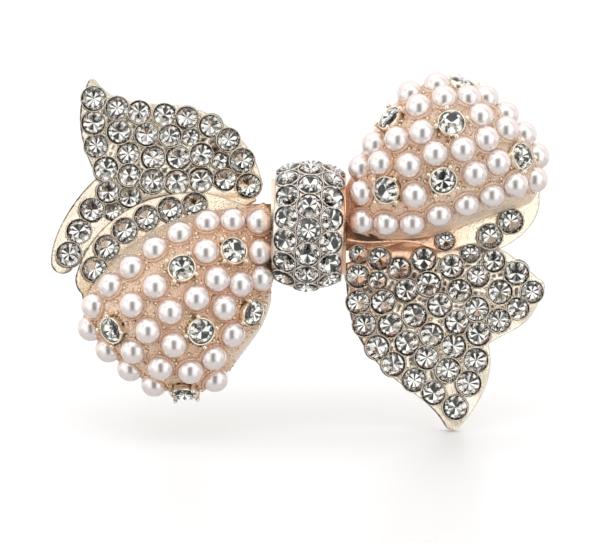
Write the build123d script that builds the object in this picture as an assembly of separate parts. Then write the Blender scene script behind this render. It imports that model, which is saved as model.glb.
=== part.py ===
"""Pearl and rhinestone bow on a French barrette.

The bow is drawn in its own frame: X to the right, Z up, and Y to the back, with the origin in the
middle of the knot. Everything is in millimetres. At the end the whole clip is leaned back and put
on the floor, the way it stands on the tip of its right tail.
"""

import math
import os
from dataclasses import dataclass

from build123d import *

# ---------------------------------------------------------------- driving dimensions
LEAN = 10.0                 # the bow leans back by this angle
PLATE = 1.6                 # thickness of the cast back layer of each loop
BACK_FRONT = -0.8           # front face of the back layers
TAIL = 1.7                  # thickness of the cast tails, measured along Y
TAIL_FRONT = 0.95           # Y of the pleats' ridges
PLEAT_RISE = 0.045          # how fast the pleats deepen away from the neck
TAIL_ROOT = 1.5             # the pleats are drawn from this distance off the neck
TAIL_REACH = 42.0           # and up to this one, past the ends of the tails
SHELL = 1.3                 # wall of the puffed loop fronts

STONE = 3.05                # round stones of the pave, across the girdle
SMALL_STONE = 2.35          # small stones that fill the narrow places
ACCENT = 3.5                # crystals in four-prong settings
PEARL = 3.45
SEAT_GAP = 0.03             # glue gap round every stone and pearl in its seat

CROWN = 0.19                # height of a stone above its girdle, as a share of its diameter
PAVILION = 0.30             # depth of a stone below its girdle
TABLE = 0.56                # width of the table facet
CULET = 0.50                # width of the flat foiled back
STONE_SIDES = 8
PEARL_SIDES = 8
PEARL_SEAT = 0.35           # depth of the cup under a pearl
PEARL_BANDS = (0.0, 0.62, 0.94)     # heights of a pearl's facet rings, as shares of its radius
PEARL_FLAT = 0.30           # distance from a pearl's middle to its flat back, as a share of its radius
SETTING_WALL = 0.2
SETTING_DEPTH = 1.3         # underside of a setting to its crystal's girdle
SETTING_SEAT = 0.6          # how deep a setting stands in the loop's wall
CLAW = 0.55

KNOT_WIDTH = 9.8
KNOT_RADIUS = 8.75          # middle of the band
KNOT_CROWN = 9.4            # radius of the band's barrel profile
KNOT_EDGE = 0.9             # thickness of the band at its two rims
KNOT_MIDDLE = -1.9          # Y of the ring's axis
KNOT_BACK = 4.0             # the ring and the core end in this plane
KNOT_TILT = 2.5             # the ring leans to the side by this angle
KNOT_PITCH = 22.6           # angle between two stones of one column
KNOT_FIRST = -3.6           # angle of the stone nearest the front
KNOT_STEPS = range(-3, 5)
KNOT_COLUMN = 3.15          # distance between the columns
CORE_HALF = 5.2             # half the length of the core, where the ribbons start

BASE_LENGTH = 55.0
BASE_MIDDLE = -1.2          # X of the middle of the barrette
BASE_WIDTH = 6.6
EAR_INSET = 1.6             # from the base's end to the hinge pin
BASE_SHEET = 0.8
BASE_RADIUS = 92.0          # the barrette follows the head
BASE_FRONT = 5.0            # Y of the base's front face in the middle
ARM_WIDTH = 4.4
ARM_SHEET = 0.9
ARM_MIDDLE = 13.6           # Y of the arm's front face in the middle
ARM_RADIUS = 420.0
PIN = 1.2
PIN_FIT = 0.04              # radial running clearance on the hinge pin
KNUCKLE_WALL = 0.7
EAR_SHEET = 0.8
EAR_GAP = 0.15              # side clearance between an ear and the arm's knuckle

LATCH_X = 23.6
PRONG = 0.6
PRONG_GAP = 2.0             # between the two prongs
PRONG_WIDTH = 2.6
HOOK = 0.8
HOOK_CLEARANCE = 0.2
WINDOW_CLEARANCE = 0.3
WINDOW_RIM = 1.3
TAB = 1.7                   # the finger tab stands this far past the hook
ROOT_BEAD = 0.9             # round root on which a prong rocks
LATCH_SHEET = 0.9           # thickness of the latch plate beyond the base
LATCH_MARGIN = 0.8
PIN_HEAD = 1.9
PIN_CAP = 0.35

LEAF_WIDTH = 3.6
LEAF_SHEET = 0.3
LEAF_HALF = 18.5
LEAF_END = 1.8              # from the leaf's end to its rivet
LEAF_LIFT = 1.3             # how far the free end stands off the base
LEAF_PLAY = 0.05            # play of the leaf on its rivet
WASHER = 0.5
RIVET = 1.4
RIVET_HEAD = 2.4
RIVET_CAP = 0.5

POST = 2.8                  # diameter of the posts between bow and barrette
POST_X = 15.0
POST_Z = 1.3
SADDLE = 8.0

LEFT_NECK = (-6.0, 4.5)     # where the tail's pleats run together
LEFT_FAN = (100, 212, 25)   # first and last angle, and the pleats' pitch
RIGHT_NECK = (5.2, -3.5)
RIGHT_FAN = (-100, 10, 25)

ROOM = 60.0                 # half the size of cutting blocks, which reach past the whole clip
WAVE_STEPS = 6              # points on one pleat's wave
ROW_STEPS = 60              # fineness with which a row is followed along a face


# ---------------------------------------------------------------- small helpers
def across(x, z, y=0.0):
    """A point of the bow's face plane, moved back by y."""
    return Vector(x, y, z)


def curve(points, y):
    """One smooth edge through points of the face plane."""
    return Edge.make_spline([across(x, z, y) for x, z in points])


def bend(start, middle, end, y):
    """A round corner as one arc through three points."""
    return Edge.make_three_point_arc(across(*start, y), across(*middle, y), across(*end, y))


def straight(start, end, y):
    return Edge.make_line(across(*start, y), across(*end, y))


def prism(edges, depth):
    """The outline's prism, from its own plane to the back."""
    return Solid.extrude(Face(Wire(edges)), Vector(0, depth, 0))


def facing(point, normal):
    """The place of something that looks along the normal, with its rim level."""
    side = Vector(0, 0, 1).cross(normal)
    return Plane(origin=point, x_dir=side, z_dir=normal).location


def largest(shape):
    """The main solid of a cut or an intersection, without its off-cuts."""
    return max(shape.solids(), key=lambda solid: solid.volume)


def faceted(rings, sides):
    """A closed solid of flat facets between regular polygons: rings of (height, radius)."""
    turn = 2 * math.pi / sides
    corners = []
    for height, radius in rings:
        ring = []
        for k in range(sides):
            angle = turn * (k + 0.5)
            ring.append(Vector(radius * math.cos(angle), radius * math.sin(angle), height))
        corners.append(ring)
    faces = [Face(Wire.make_polygon(corners[0])), Face(Wire.make_polygon(corners[-1]))]
    for low, high in zip(corners, corners[1:]):
        for k in range(sides):
            n = (k + 1) % sides
            faces.append(Face(Wire.make_polygon([low[k], low[n], high[n], high[k]])))
    return Solid(Shell(faces))


def group(solids):
    """Several separate solids of one kind as one node."""
    return Compound(children=list(solids))


# ---------------------------------------------------------------- places read off the bow, as (x, z)
LEFT_TAIL_TOP = [(-5.2, 3.2), (-6.2, 5.5), (-7.6, 9.7), (-10.3, 13.2), (-14.0, 15.9), (-19.2, 17.2),
                 (-25.5, 17.8), (-28.1, 18.8), (-29.7, 20.4)]
LEFT_TAIL_TIP = (-30.4, 20.8)
LEFT_TAIL_SIDE = [(-30.9, 20.4), (-32.0, 16.7), (-32.0, 13.6), (-31.2, 10.4), (-29.7, 6.9)]
LEFT_TAIL_LOBE = [(-29.7, 6.9), (-32.5, 3.9), (-34.7, 0.4), (-35.9, -2.9), (-36.1, -5.2)]
LEFT_TAIL_LOBE_TIP = (-34.9, -6.5)
LEFT_TAIL_UNDER = [(-32.9, -5.6), (-27.6, -1.8), (-22.9, 1.1), (-17.3, 2.7), (-11.7, 2.4), (-5.2, 0.1)]

RIGHT_TAIL_SIDE = [(5.2, -4.9), (5.4, -9.5), (6.2, -13.6), (8.4, -17.6), (12.3, -21.5), (16.4, -24.6),
                   (19.0, -27.6)]
RIGHT_TAIL_TIP = (20.1, -28.5)
RIGHT_TAIL_EDGE = [(21.3, -28.0), (23.5, -25.0), (25.1, -21.8), (25.6, -18.7), (25.3, -16.4)]
RIGHT_TAIL_LOBE = [(25.3, -16.4), (27.9, -14.9), (30.7, -13.1), (32.5, -10.2), (33.2, -8.6)]
RIGHT_TAIL_LOBE_TIP = (33.1, -7.9)
RIGHT_TAIL_UNDER = [(32.2, -7.2), (29.7, -4.9), (26.6, -2.9), (22.7, -1.7), (18.5, -1.0), (12.8, -0.7),
                    (5.2, -1.0)]

LEFT_BACK_EDGE = [(-5.2, 1.8), (-9.3, 3.2), (-13.5, 4.6), (-18.0, 4.7), (-22.5, 3.7), (-27.4, 1.0),
                  (-31.0, -3.1), (-32.4, -6.3)]
LEFT_BACK_END = (-32.6, -7.8)
LEFT_BACK_UNDER = [(-31.7, -9.4), (-30.6, -13.4), (-28.0, -17.2), (-24.0, -20.4), (-18.2, -22.8),
                   (-13.6, -21.6), (-10.4, -18.4), (-7.4, -13.7), (-5.2, -8.2)]

RIGHT_BACK_EDGE = [(5.2, -1.8), (10.0, -2.2), (14.5, -2.2), (17.0, -2.9), (19.3, -3.4), (21.1, -2.8),
                   (23.7, -2.3), (26.7, -3.1)]
RIGHT_BACK_END = [(26.7, -3.1), (30.0, -1.0), (32.0, 1.8), (32.3, 4.3)]
RIGHT_BACK_UNDER = [(32.3, 4.3), (32.2, 8.7), (30.2, 12.5), (26.2, 16.8), (21.6, 18.4), (17.0, 18.9),
                    (13.6, 17.8), (10.6, 15.4), (8.9, 12.2), (6.5, 8.0), (5.2, 5.2)]


@dataclass
class Loop:
    """A puffed loop front: sections across a line that runs from the neck to the far end.

    Each section is (along, from, to, height), measured from the start in the line's direction,
    to both sides of the line, and forward from the back layer.
    """

    name: str
    start: tuple
    heading: float
    turn: float             # +90 or -90: the side on which positive widths lie
    sections: list
    mouth: tuple            # two points of the line from which the lip rises
    mouth_rise: float


LEFT_LOOP = Loop("left", (-6.1, -3.2), 219.4, 90, [
    (-4.0, -6.0, 1.6, 3.8), (-1.5, -7.0, 3.0, 4.4), (1.5, -9.1, 4.4, 5.6), (5.5, -11.1, 7.2, 7.6),
    (11.0, -12.4, 9.1, 9.3), (16.8, -12.3, 10.1, 9.6), (21.3, -11.6, 8.7, 8.2), (23.8, -10.4, 5.0, 5.8),
    (25.2, -8.9, 0.8, 3.4), (25.7, -7.2, -2.4, 1.2)],
    ((-31.8, -9.8), (-5.2, -3.0)), 17.0)

RIGHT_LOOP = Loop("right", (5.6, 3.1), 31.8, -90, [
    (-1.5, -1.5, 3.6, 4.2), (1.4, -2.6, 6.8, 5.6), (4.5, -4.7, 8.7, 7.4), (8.5, -7.0, 10.3, 9.0),
    (14.5, -8.9, 11.5, 9.7), (19.0, -8.3, 12.6, 9.0), (22.0, -6.0, 13.2, 7.4), (24.3, -2.3, 11.4, 5.3),
    (25.5, 1.6, 9.4, 3.2), (26.0, 3.8, 7.2, 1.2)],
    ((32.6, 6.4), (5.2, 3.0)), 17.0)


@dataclass
class Row:
    """A row of stones or pearls, seen along a line of sight.

    The pattern has one letter for each: s a stone, m a small stone, p a pearl and c a crystal. With
    one point for each letter the row stands on its points, and otherwise it is evenly spaced along a
    curve through them. A point is (x, z) on a row that is seen from the front, and else (x, y, z).
    """

    path: list
    pattern: str
    sight: tuple = (0, 1, 0)


LEFT_TAIL_ROWS = [
    Row([(-30.1, 18.0), (-23.5, 16.1), (-16.6, 15.2), (-9.3, 9.3)], "ssssssss"),
    Row([(-30.2, 14.6), (-26.6, 13.3), (-22.7, 13.0), (-19.4, 12.8)], "ssss"),
    Row([(-16.5, 12.6)], "m"),
    Row([(-29.8, 11.4), (-25.3, 10.3), (-21.8, 9.7), (-18.3, 9.7), (-15.0, 10.2)], "sssss"),
    Row([(-12.4, 9.3)], "m"),
    Row([(-28.4, 8.2), (-24.9, 7.2), (-21.5, 6.4), (-14.8, 6.7), (-8.4, 5.8)], "sssssss"),
]
LEFT_LOBE_ROWS = [
    Row([(-33.6, -3.8), (-32.2, -0.6), (-30.4, 2.4), (-28.1, 4.9), (-25.1, 4.2)], "sssss"),
    Row([(-27.4, 2.2)], "m"),
]
LEFT_BACK_ROWS = [Row([(-29.9, -5.9), (-27.9, -2.5), (-22.4, 1.4), (-15.9, 3.1)], "ssssss")]

RIGHT_TAIL_ROWS = [
    Row([(6.9, -6.9), (6.9, -10.2), (9.5, -16.6), (14.6, -21.3), (20.6, -25.3)], "ssssssss"),
    Row([(10.4, -10.5), (11.6, -13.9), (16.6, -18.3), (22.5, -21.9)], "ssssss"),
    Row([(7.1, -3.9)], "m"),
    Row([(9.7, -7.5)], "m"),
    Row([(10.0, -4.4)], "s"),
    Row([(12.8, -5.8), (13.7, -8.9), (14.9, -12.4), (17.3, -15.1), (20.4, -16.7), (23.5, -18.7)], "ssssss"),
]
RIGHT_LOBE_ROWS = [
    Row([(16.2, -4.6), (18.3, -10.9), (23.8, -15.0)], "sssss"),
    Row([(20.1, -5.6), (21.3, -9.0), (26.7, -13.1)], "ssss"),
    Row([(23.8, -6.9), (26.9, -9.1), (29.4, -11.4)], "sss"),
    Row([(26.0, -4.8), (29.2, -6.5), (31.4, -9.1)], "sss"),
    Row([(22.7, -3.7)], "m"),
]
RIGHT_BACK_ROWS = [Row([(28.3, 0.8), (25.4, -1.3)], "ss"), Row([(19.1, -2.0)], "m")]

LEFT_LOOP_ROWS = [
    Row([(-6.9, 0.6), (-10.6, 0.8), (-14.1, 0.6), (-17.9, -1.0), (-21.3, -3.1), (-24.5, -5.7),
         (-27.4, -8.2), (-29.8, -11.0)], "pppppppp"),
    Row([(-6.8, -3.5), (-10.3, -3.3), (-14.2, -3.5), (-17.5, -5.7), (-21.2, -8.3), (-24.4, -10.9),
         (-27.4, -14.4)], "pcpcppc"),
    Row([(-6.7, -7.2), (-9.5, -8.0), (-12.7, -7.3), (-15.5, -9.9), (-19.1, -11.8), (-22.2, -14.4),
         (-24.3, -17.2)], "ppppppp"),
    Row([(-11.7, -11.2), (-14.8, -14.5), (-18.6, -16.3), (-20.5, -19.5)], "pcpp"),
    Row([(-7.6, -12.0), (-10.6, -14.9), (-13.2, -18.1), (-16.4, -20.0)], "cppp"),
    Row([(-13.0, -21.2)], "p"),
    Row([(-31.0, -2.6, -14.6), (-28.3, -3.2, -17.4), (-25.2, -3.5, -20.0), (-21.8, -3.5, -22.1)], "pppp",
        sight=(0.78, 0, 0.63)),
    Row([(-17.3, -4.6, -23.0)], "c", sight=(0, 0, 1)),
]
RIGHT_LOOP_ROWS = [
    Row([(7.4, 0.8), (10.8, 0.5), (14.4, 0.5), (18.1, 1.7), (21.9, 3.1), (25.4, 4.4), (28.7, 5.9),
         (31.5, 6.6)], "pppppppp"),
    Row([(7.4, 4.7), (10.7, 5.0), (14.7, 4.4), (18.6, 6.3), (23.0, 7.4), (26.2, 8.9), (29.7, 9.8)],
        "pcpcppc"),
    Row([(7.3, 8.2), (10.0, 8.8), (13.9, 8.5), (17.5, 10.1), (21.3, 10.7), (24.6, 12.1), (27.4, 13.5)],
        "ppppppp"),
    Row([(9.2, 11.4), (12.3, 12.1), (15.7, 13.0), (19.8, 14.4), (23.8, 15.3)], "pppcp"),
    Row([(11.2, 15.2), (15.3, 16.6), (18.8, 17.8), (22.2, 17.9)], "cppp"),
    Row([(14.2, -4.0, 18.4), (17.7, -4.2, 20.2)], "pp", sight=(0.3, 0, -0.95)),
    Row([(25.5, -3.2, 18.4), (28.1, -3.3, 16.0), (30.4, -3.0, 13.1), (31.9, -2.5, 9.9)], "pppp",
        sight=(-0.85, 0, -0.53)),
    Row([(21.5, -2.75, 20.4)], "c", sight=(0, 0, -1)),
]


# ---------------------------------------------------------------- one stone, pearl and setting
def stone(size):
    """A foiled chaton: table, crown, pavilion and flat back, with its girdle at height 0."""
    half = size / 2
    return faceted([(-PAVILION * size, CULET * half), (0, half), (CROWN * size, TABLE * half)], STONE_SIDES)


def stone_seat(size):
    """The cutter of a stone's seat, one glue gap wider all round and open to the front."""
    half = size / 2 + SEAT_GAP
    return faceted([(-PAVILION * size, CULET * size / 2 + SEAT_GAP), (0, half), (size, half)], STONE_SIDES)


def pearl():
    """A flat-backed pearl with its flat at height 0."""
    half = PEARL / 2
    rings = []
    for share in (-PEARL_FLAT,) + PEARL_BANDS:
        rings.append(((share + PEARL_FLAT) * half, half * math.sqrt(1 - share ** 2)))
    return faceted(rings, PEARL_SIDES)


def pearl_seat():
    """The cutter of a pearl's cup: its floor is at height 0 and it is open to the front."""
    half = PEARL / 2
    wide = math.sqrt(half ** 2 - max(PEARL_FLAT * half - PEARL_SEAT, 0) ** 2) + SEAT_GAP
    return faceted([(0, wide), (PEARL, wide)], PEARL_SIDES)


def crystal():
    """A crystal at the height at which its setting holds it, the setting's underside at 0."""
    return Pos(0, 0, SETTING_DEPTH) * stone(ACCENT)


def setting():
    """A round cup with four claws that reach over the crystal's girdle."""
    outer = ACCENT / 2 + SEAT_GAP + SETTING_WALL
    cup = faceted([(0, outer), (SETTING_DEPTH, outer)], STONE_SIDES)
    hollow = Pos(0, 0, SETTING_DEPTH) * stone_seat(ACCENT)
    claws = []
    for k in range(4):
        reach = Box(CLAW, CLAW, CLAW, align=(Align.MAX, Align.CENTER, Align.MIN))
        claws.append(Rot(0, 0, 90 * k) * Pos(outer, 0, SETTING_DEPTH) * reach)
    crown = Pos(0, 0, SETTING_DEPTH) * faceted(
        [(-PAVILION * ACCENT, CULET * ACCENT / 2 + SEAT_GAP), (0, ACCENT / 2 + SEAT_GAP),
         (CROWN * ACCENT, TABLE * ACCENT / 2 + SEAT_GAP), (ACCENT, TABLE * ACCENT / 2)], STONE_SIDES)
    body = cup.cut(hollow)
    for claw in claws:
        body = body.fuse(claw.cut(crown))
    return body


def setting_seat():
    wide = ACCENT / 2 + 2 * SEAT_GAP + SETTING_WALL
    return faceted([(0, wide), (ACCENT, wide)], STONE_SIDES)


# ---------------------------------------------------------------- rows on a face
def drop(face, at, sight, lift=0.0):
    """Place on a face, looking along its normal, seen at a point of the row.

    With a lift, it is the point at this height above the face that is seen there.
    """
    ray = Vector(*sight).normalized()
    goal = Vector(at[0], 0, at[1]) if len(at) == 2 else Vector(*at)
    goal = goal - ray * goal.dot(ray)
    aim = goal
    found = None
    for _ in range(3):
        hits = face.find_intersection_points(Axis(aim - ray * ROOM, ray))
        if not hits:
            break
        point, normal = min(hits, key=lambda hit: hit[0].dot(ray))
        if normal.dot(ray) > 0:
            normal = -normal
        found = facing(point, normal)
        seen = point + normal * lift
        aim = aim + goal - (seen - ray * seen.dot(ray))
    return found


def lay(face, row, lifts):
    """Places of a row's stones on a face."""
    if len(row.path) == len(row.pattern):
        return [drop(face, at, row.sight, lifts[letter]) for at, letter in zip(row.path, row.pattern)]
    path = curve(row.path, 0) if len(row.path) > 2 else straight(*row.path, 0)
    track = []
    for k in range(ROW_STEPS + 1):
        at = path @ (k / ROW_STEPS)
        track.append(drop(face, (at.X, at.Z), row.sight))
    reach = [0.0]
    for a, b in zip(track, track[1:]):
        reach.append(reach[-1] + (b.position - a.position).length)
    step = reach[-1] / (len(row.pattern) - 1)
    places = []
    for k in range(len(row.pattern)):
        places.append(track[min(range(len(reach)), key=lambda n: abs(reach[n] - k * step))])
    return places


LIFTS = {"s": 0.0, "m": 0.0, "p": PEARL_FLAT * PEARL / 2 - PEARL_SEAT, "c": SETTING_DEPTH - SETTING_SEAT}


def pave(face, rows):
    """Solids of the stones of some rows and the cutters of their seats."""
    kinds = {"s": STONE, "m": SMALL_STONE}
    stones = {letter: stone(size) for letter, size in kinds.items()}
    seats = {letter: stone_seat(size) for letter, size in kinds.items()}
    placed, cutters = [], []
    for row in rows:
        for letter, place in zip(row.pattern, lay(face, row, LIFTS)):
            placed.append(stones[letter].moved(place))
            cutters.append(seats[letter].moved(place))
    return placed, cutters


# ---------------------------------------------------------------- ribbon tails and back layers
def pleated_front(neck, first, last, pleat):
    """A ribbon's front: straight lines that fan out from the neck between two wavy arcs."""
    def wave(radius):
        steps = max(8, round((last - first) / pleat * WAVE_STEPS))
        points = []
        for k in range(steps + 1):
            angle = first + (last - first) * k / steps
            depth = PLEAT_RISE * radius * (1 - math.cos(2 * math.pi * (angle - first) / pleat)) / 2
            turn = math.radians(angle)
            points.append(across(neck[0] + radius * math.cos(turn), neck[1] + radius * math.sin(turn),
                                 TAIL_FRONT + depth))
        return Edge.make_spline(points)
    return Face.make_surface_from_curves(wave(TAIL_ROOT), wave(TAIL_REACH))


def tail(face, outline, seats):
    """The pleated sheet, TAIL thick, cut to the ribbon's outline, with its seats."""
    sheet = Solid.extrude(face, Vector(0, TAIL, 0))
    return largest(largest(sheet & outline).cut(*seats))


def left_tail_outline():
    y = -ROOM
    return prism([
        curve(LEFT_TAIL_TOP, y),
        bend(LEFT_TAIL_TOP[-1], LEFT_TAIL_TIP, LEFT_TAIL_SIDE[0], y),
        curve(LEFT_TAIL_SIDE, y),
        curve(LEFT_TAIL_LOBE, y),
        bend(LEFT_TAIL_LOBE[-1], LEFT_TAIL_LOBE_TIP, LEFT_TAIL_UNDER[0], y),
        curve(LEFT_TAIL_UNDER, y),
        straight(LEFT_TAIL_UNDER[-1], LEFT_TAIL_TOP[0], y)], 2 * ROOM)


def right_tail_outline():
    y = -ROOM
    return prism([
        curve(RIGHT_TAIL_SIDE, y),
        bend(RIGHT_TAIL_SIDE[-1], RIGHT_TAIL_TIP, RIGHT_TAIL_EDGE[0], y),
        curve(RIGHT_TAIL_EDGE, y),
        curve(RIGHT_TAIL_LOBE, y),
        bend(RIGHT_TAIL_LOBE[-1], RIGHT_TAIL_LOBE_TIP, RIGHT_TAIL_UNDER[0], y),
        curve(RIGHT_TAIL_UNDER, y),
        straight(RIGHT_TAIL_UNDER[-1], RIGHT_TAIL_SIDE[0], y)], 2 * ROOM)


def left_back_layer():
    y = BACK_FRONT
    return prism([
        curve(LEFT_BACK_EDGE, y),
        bend(LEFT_BACK_EDGE[-1], LEFT_BACK_END, LEFT_BACK_UNDER[0], y),
        curve(LEFT_BACK_UNDER, y),
        straight(LEFT_BACK_UNDER[-1], LEFT_BACK_EDGE[0], y)], PLATE)


def right_back_layer():
    y = BACK_FRONT
    return prism([
        curve(RIGHT_BACK_EDGE, y),
        curve(RIGHT_BACK_END, y),
        curve(RIGHT_BACK_UNDER, y),
        straight(RIGHT_BACK_UNDER[-1], RIGHT_BACK_EDGE[0], y)], PLATE)


# ---------------------------------------------------------------- puffed loop fronts
def puff(loop, inset):
    """The loop front's form, or the form of its hollow when it is inset by the wall."""
    heading = math.radians(loop.heading)
    sideways = math.radians(loop.heading + loop.turn)
    along = Vector(math.cos(heading), 0, math.sin(heading))
    side = Vector(math.cos(sideways), 0, math.sin(sideways))
    start = across(*loop.start, BACK_FRONT)
    wires = []
    for t, low, high, height in loop.sections:
        half = (high - low) / 2 - inset
        rise = height - inset
        if half < inset or rise < inset:
            continue
        middle = start + along * (t - inset) + side * ((high + low) / 2)
        plane = Plane(origin=middle, x_dir=side, z_dir=side.cross(Vector(0, -1, 0)))
        arch = Edge.make_ellipse(half, rise, plane, 0, 180)
        if (arch @ 0.5).Y > middle.Y:
            arch = Edge.make_ellipse(half, rise, plane, 180, 360)
        wires.append(Wire([arch, Edge.make_line(arch @ 1, arch @ 0)]))
    return Solid.make_loft(wires)


def loop_front(loop, rows):
    """The hollow front with its pearls, crystals and settings.

    The wall is open to the back layer along the mouth and is cut off square at the core.
    """
    form = puff(loop, 0)
    skin = max(form.faces(), key=lambda face: face.area if face.center().Y < BACK_FRONT - 1 else 0)
    wall = form.cut(puff(loop, SHELL), mouth_cutter(loop), neck_cutter(loop))
    pearls, crystals, settings = [], [], []
    for row in rows:
        cutters = []
        for letter, place in zip(row.pattern, lay(skin, row, LIFTS)):
            if letter == "p":
                pearls.append(pearl().moved(place * Pos(0, 0, -PEARL_SEAT)))
                cutters.append(pearl_seat().moved(place * Pos(0, 0, -PEARL_SEAT)))
            else:
                sunk = place * Pos(0, 0, -SETTING_SEAT)
                crystals.append(crystal().moved(sunk))
                settings.append(setting().moved(sunk))
                cutters.append(setting_seat().moved(sunk))
        wall = largest(wall.cut(*cutters))
    return wall, pearls, crystals, settings


def mouth_cutter(loop):
    """Everything behind the lip, which rises from the back layer along the mouth."""
    far, near = loop.mouth
    along = (across(*far) - across(*near)).normalized()
    outward = Vector(-along.Z, 0, along.X)
    if outward.Z * loop.turn < 0:
        outward = -outward
    rise = math.radians(loop.mouth_rise)
    backward = outward * math.sin(rise) + Vector(0, math.cos(rise), 0)
    middle = (across(*far, BACK_FRONT) + across(*near, BACK_FRONT)) * 0.5
    room = Solid.make_box(2 * ROOM, 2 * ROOM, ROOM).moved(Pos(-ROOM, -ROOM, 0))
    return room.moved(Plane(origin=middle, x_dir=along, z_dir=backward).location)


def neck_cutter(loop):
    """Everything on the core's side of the plane in which the loop starts."""
    room = Solid.make_box(ROOM, 2 * ROOM, 2 * ROOM).moved(Pos(CORE_HALF - ROOM, -ROOM, -ROOM))
    return room if loop.start[0] > 0 else Rot(0, 0, 180) * room


# ---------------------------------------------------------------- knot and core
def knot_place():
    """The ring's axis, which leans a little to the side."""
    return Pos(0, KNOT_MIDDLE, 0) * Rot(0, KNOT_TILT, 0)


def crown_radius(x):
    return KNOT_RADIUS - KNOT_CROWN + math.sqrt(KNOT_CROWN ** 2 - x ** 2)


def in_front_of_back():
    """The room in front of the plane in which the knot and the core end."""
    return Solid.make_box(2 * ROOM, ROOM, 2 * ROOM).moved(Pos(-ROOM, KNOT_BACK - ROOM, -ROOM))


def knot_bore():
    return crown_radius(KNOT_WIDTH / 2) - KNOT_EDGE


def knot_band():
    """The barrel ring round the core, with its seats, and its stones."""
    half = KNOT_WIDTH / 2
    rim = crown_radius(half)
    outer = Edge.make_three_point_arc(Vector(-half, 0, rim), Vector(0, 0, KNOT_RADIUS), Vector(half, 0, rim))
    corners = [Vector(half, 0, rim), Vector(half, 0, knot_bore()), Vector(-half, 0, knot_bore()),
               Vector(-half, 0, rim)]
    sides = [Edge.make_line(a, b) for a, b in zip(corners, corners[1:])]
    ring = revolve(Face(Wire([outer] + sides)), Axis.X)
    stones, cutters = [], []
    for column, shift in ((-1, 0.5), (0, 0.0), (1, 0.5)):
        x = column * KNOT_COLUMN
        lean = x / KNOT_CROWN
        for k in KNOT_STEPS:
            angle = math.radians(KNOT_FIRST + KNOT_PITCH * (k + shift))
            front, up = -math.cos(angle), math.sin(angle)
            radius = crown_radius(x)
            level = math.sqrt(1 - lean ** 2)
            place = facing(Vector(x, radius * front, radius * up), Vector(lean, level * front, level * up))
            stones.append((knot_place() * place) * stone(STONE))
            cutters.append((knot_place() * place) * stone_seat(STONE))
    band = largest((knot_place() * ring) & in_front_of_back())
    return largest(band.cut(*cutters)), stones


def core():
    """The bar inside the knot, on whose ends the ribbons start."""
    bar = Solid.make_cylinder(knot_bore(), 4 * CORE_HALF, Plane((-2 * CORE_HALF, 0, 0), z_dir=(1, 0, 0)))
    room = Solid.make_box(2 * CORE_HALF, 2 * ROOM, 2 * ROOM).moved(Pos(-CORE_HALF, -ROOM, -ROOM))
    return largest((knot_place() * bar) & room & in_front_of_back())


# ---------------------------------------------------------------- barrette
def strip_y(radius, front, x):
    """Y of a bent strip's front face at x."""
    return front + radius - math.sqrt(radius ** 2 - (x - BASE_MIDDLE) ** 2)


def strip(radius, front, sheet, width, first, last):
    """A strip of sheet bent round the head, from x = first to x = last."""
    hub = front + radius
    disc = Solid.make_cylinder(radius, width).cut(Solid.make_cylinder(radius - sheet, width))
    room = Solid.make_box(last - first, hub, width).moved(Pos(first, 0, -width / 2))
    return largest(disc.moved(Pos(BASE_MIDDLE, hub, -width / 2)) & room)


def inside_head(radius, front, width):
    """Everything behind a bent strip's face of this radius."""
    return Solid.make_cylinder(radius, width).moved(Pos(BASE_MIDDLE, front + radius, -width / 2))


def rod(radius, x, y, low, high):
    """A round bar along Z."""
    return Solid.make_cylinder(radius, high - low).moved(Pos(x, y, low))


PIN_X = BASE_MIDDLE - BASE_LENGTH / 2 + EAR_INSET
PIN_Y = strip_y(ARM_RADIUS, ARM_MIDDLE, PIN_X) + ARM_SHEET / 2
KNUCKLE = PIN / 2 + PIN_FIT + KNUCKLE_WALL
EAR_INNER = ARM_WIDTH / 2 + EAR_GAP
LATCH_SEAT = strip_y(BASE_RADIUS, BASE_FRONT, LATCH_X + PRONG_WIDTH / 2) + BASE_SHEET + LATCH_SHEET


def clip_base():
    """The curved base strip with its two hinge ears and rivet holes."""
    first = BASE_MIDDLE - BASE_LENGTH / 2
    base = strip(BASE_RADIUS, BASE_FRONT, BASE_SHEET, BASE_WIDTH, first, first + BASE_LENGTH)
    for side in (-1, 1):
        low = EAR_INNER if side > 0 else -EAR_INNER - EAR_SHEET
        foot = strip_y(BASE_RADIUS, BASE_FRONT, PIN_X) + BASE_SHEET / 2
        ear = Solid.make_box(2 * KNUCKLE, PIN_Y - foot, EAR_SHEET).moved(Pos(PIN_X - KNUCKLE, foot, low))
        ear = ear.fuse(rod(KNUCKLE, PIN_X, PIN_Y, low, low + EAR_SHEET))
        base = base.fuse(ear)
    pin_hole = rod(PIN / 2, PIN_X, PIN_Y, -BASE_WIDTH, BASE_WIDTH)
    leaf_hole = leaf_place() * Pos(0, 0, -ROOM / 2) * Solid.make_cylinder(RIVET / 2, ROOM)
    return largest(base.cut(pin_hole, leaf_hole))


def hinge_pin():
    """The pin, with a peened head outside each ear."""
    end = EAR_INNER + EAR_SHEET
    pin = rod(PIN / 2, PIN_X, PIN_Y, -end, end)
    for low in (-end - PIN_CAP, end):
        pin = pin.fuse(rod(PIN_HEAD / 2, PIN_X, PIN_Y, low, low + PIN_CAP))
    return largest(pin)


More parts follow.
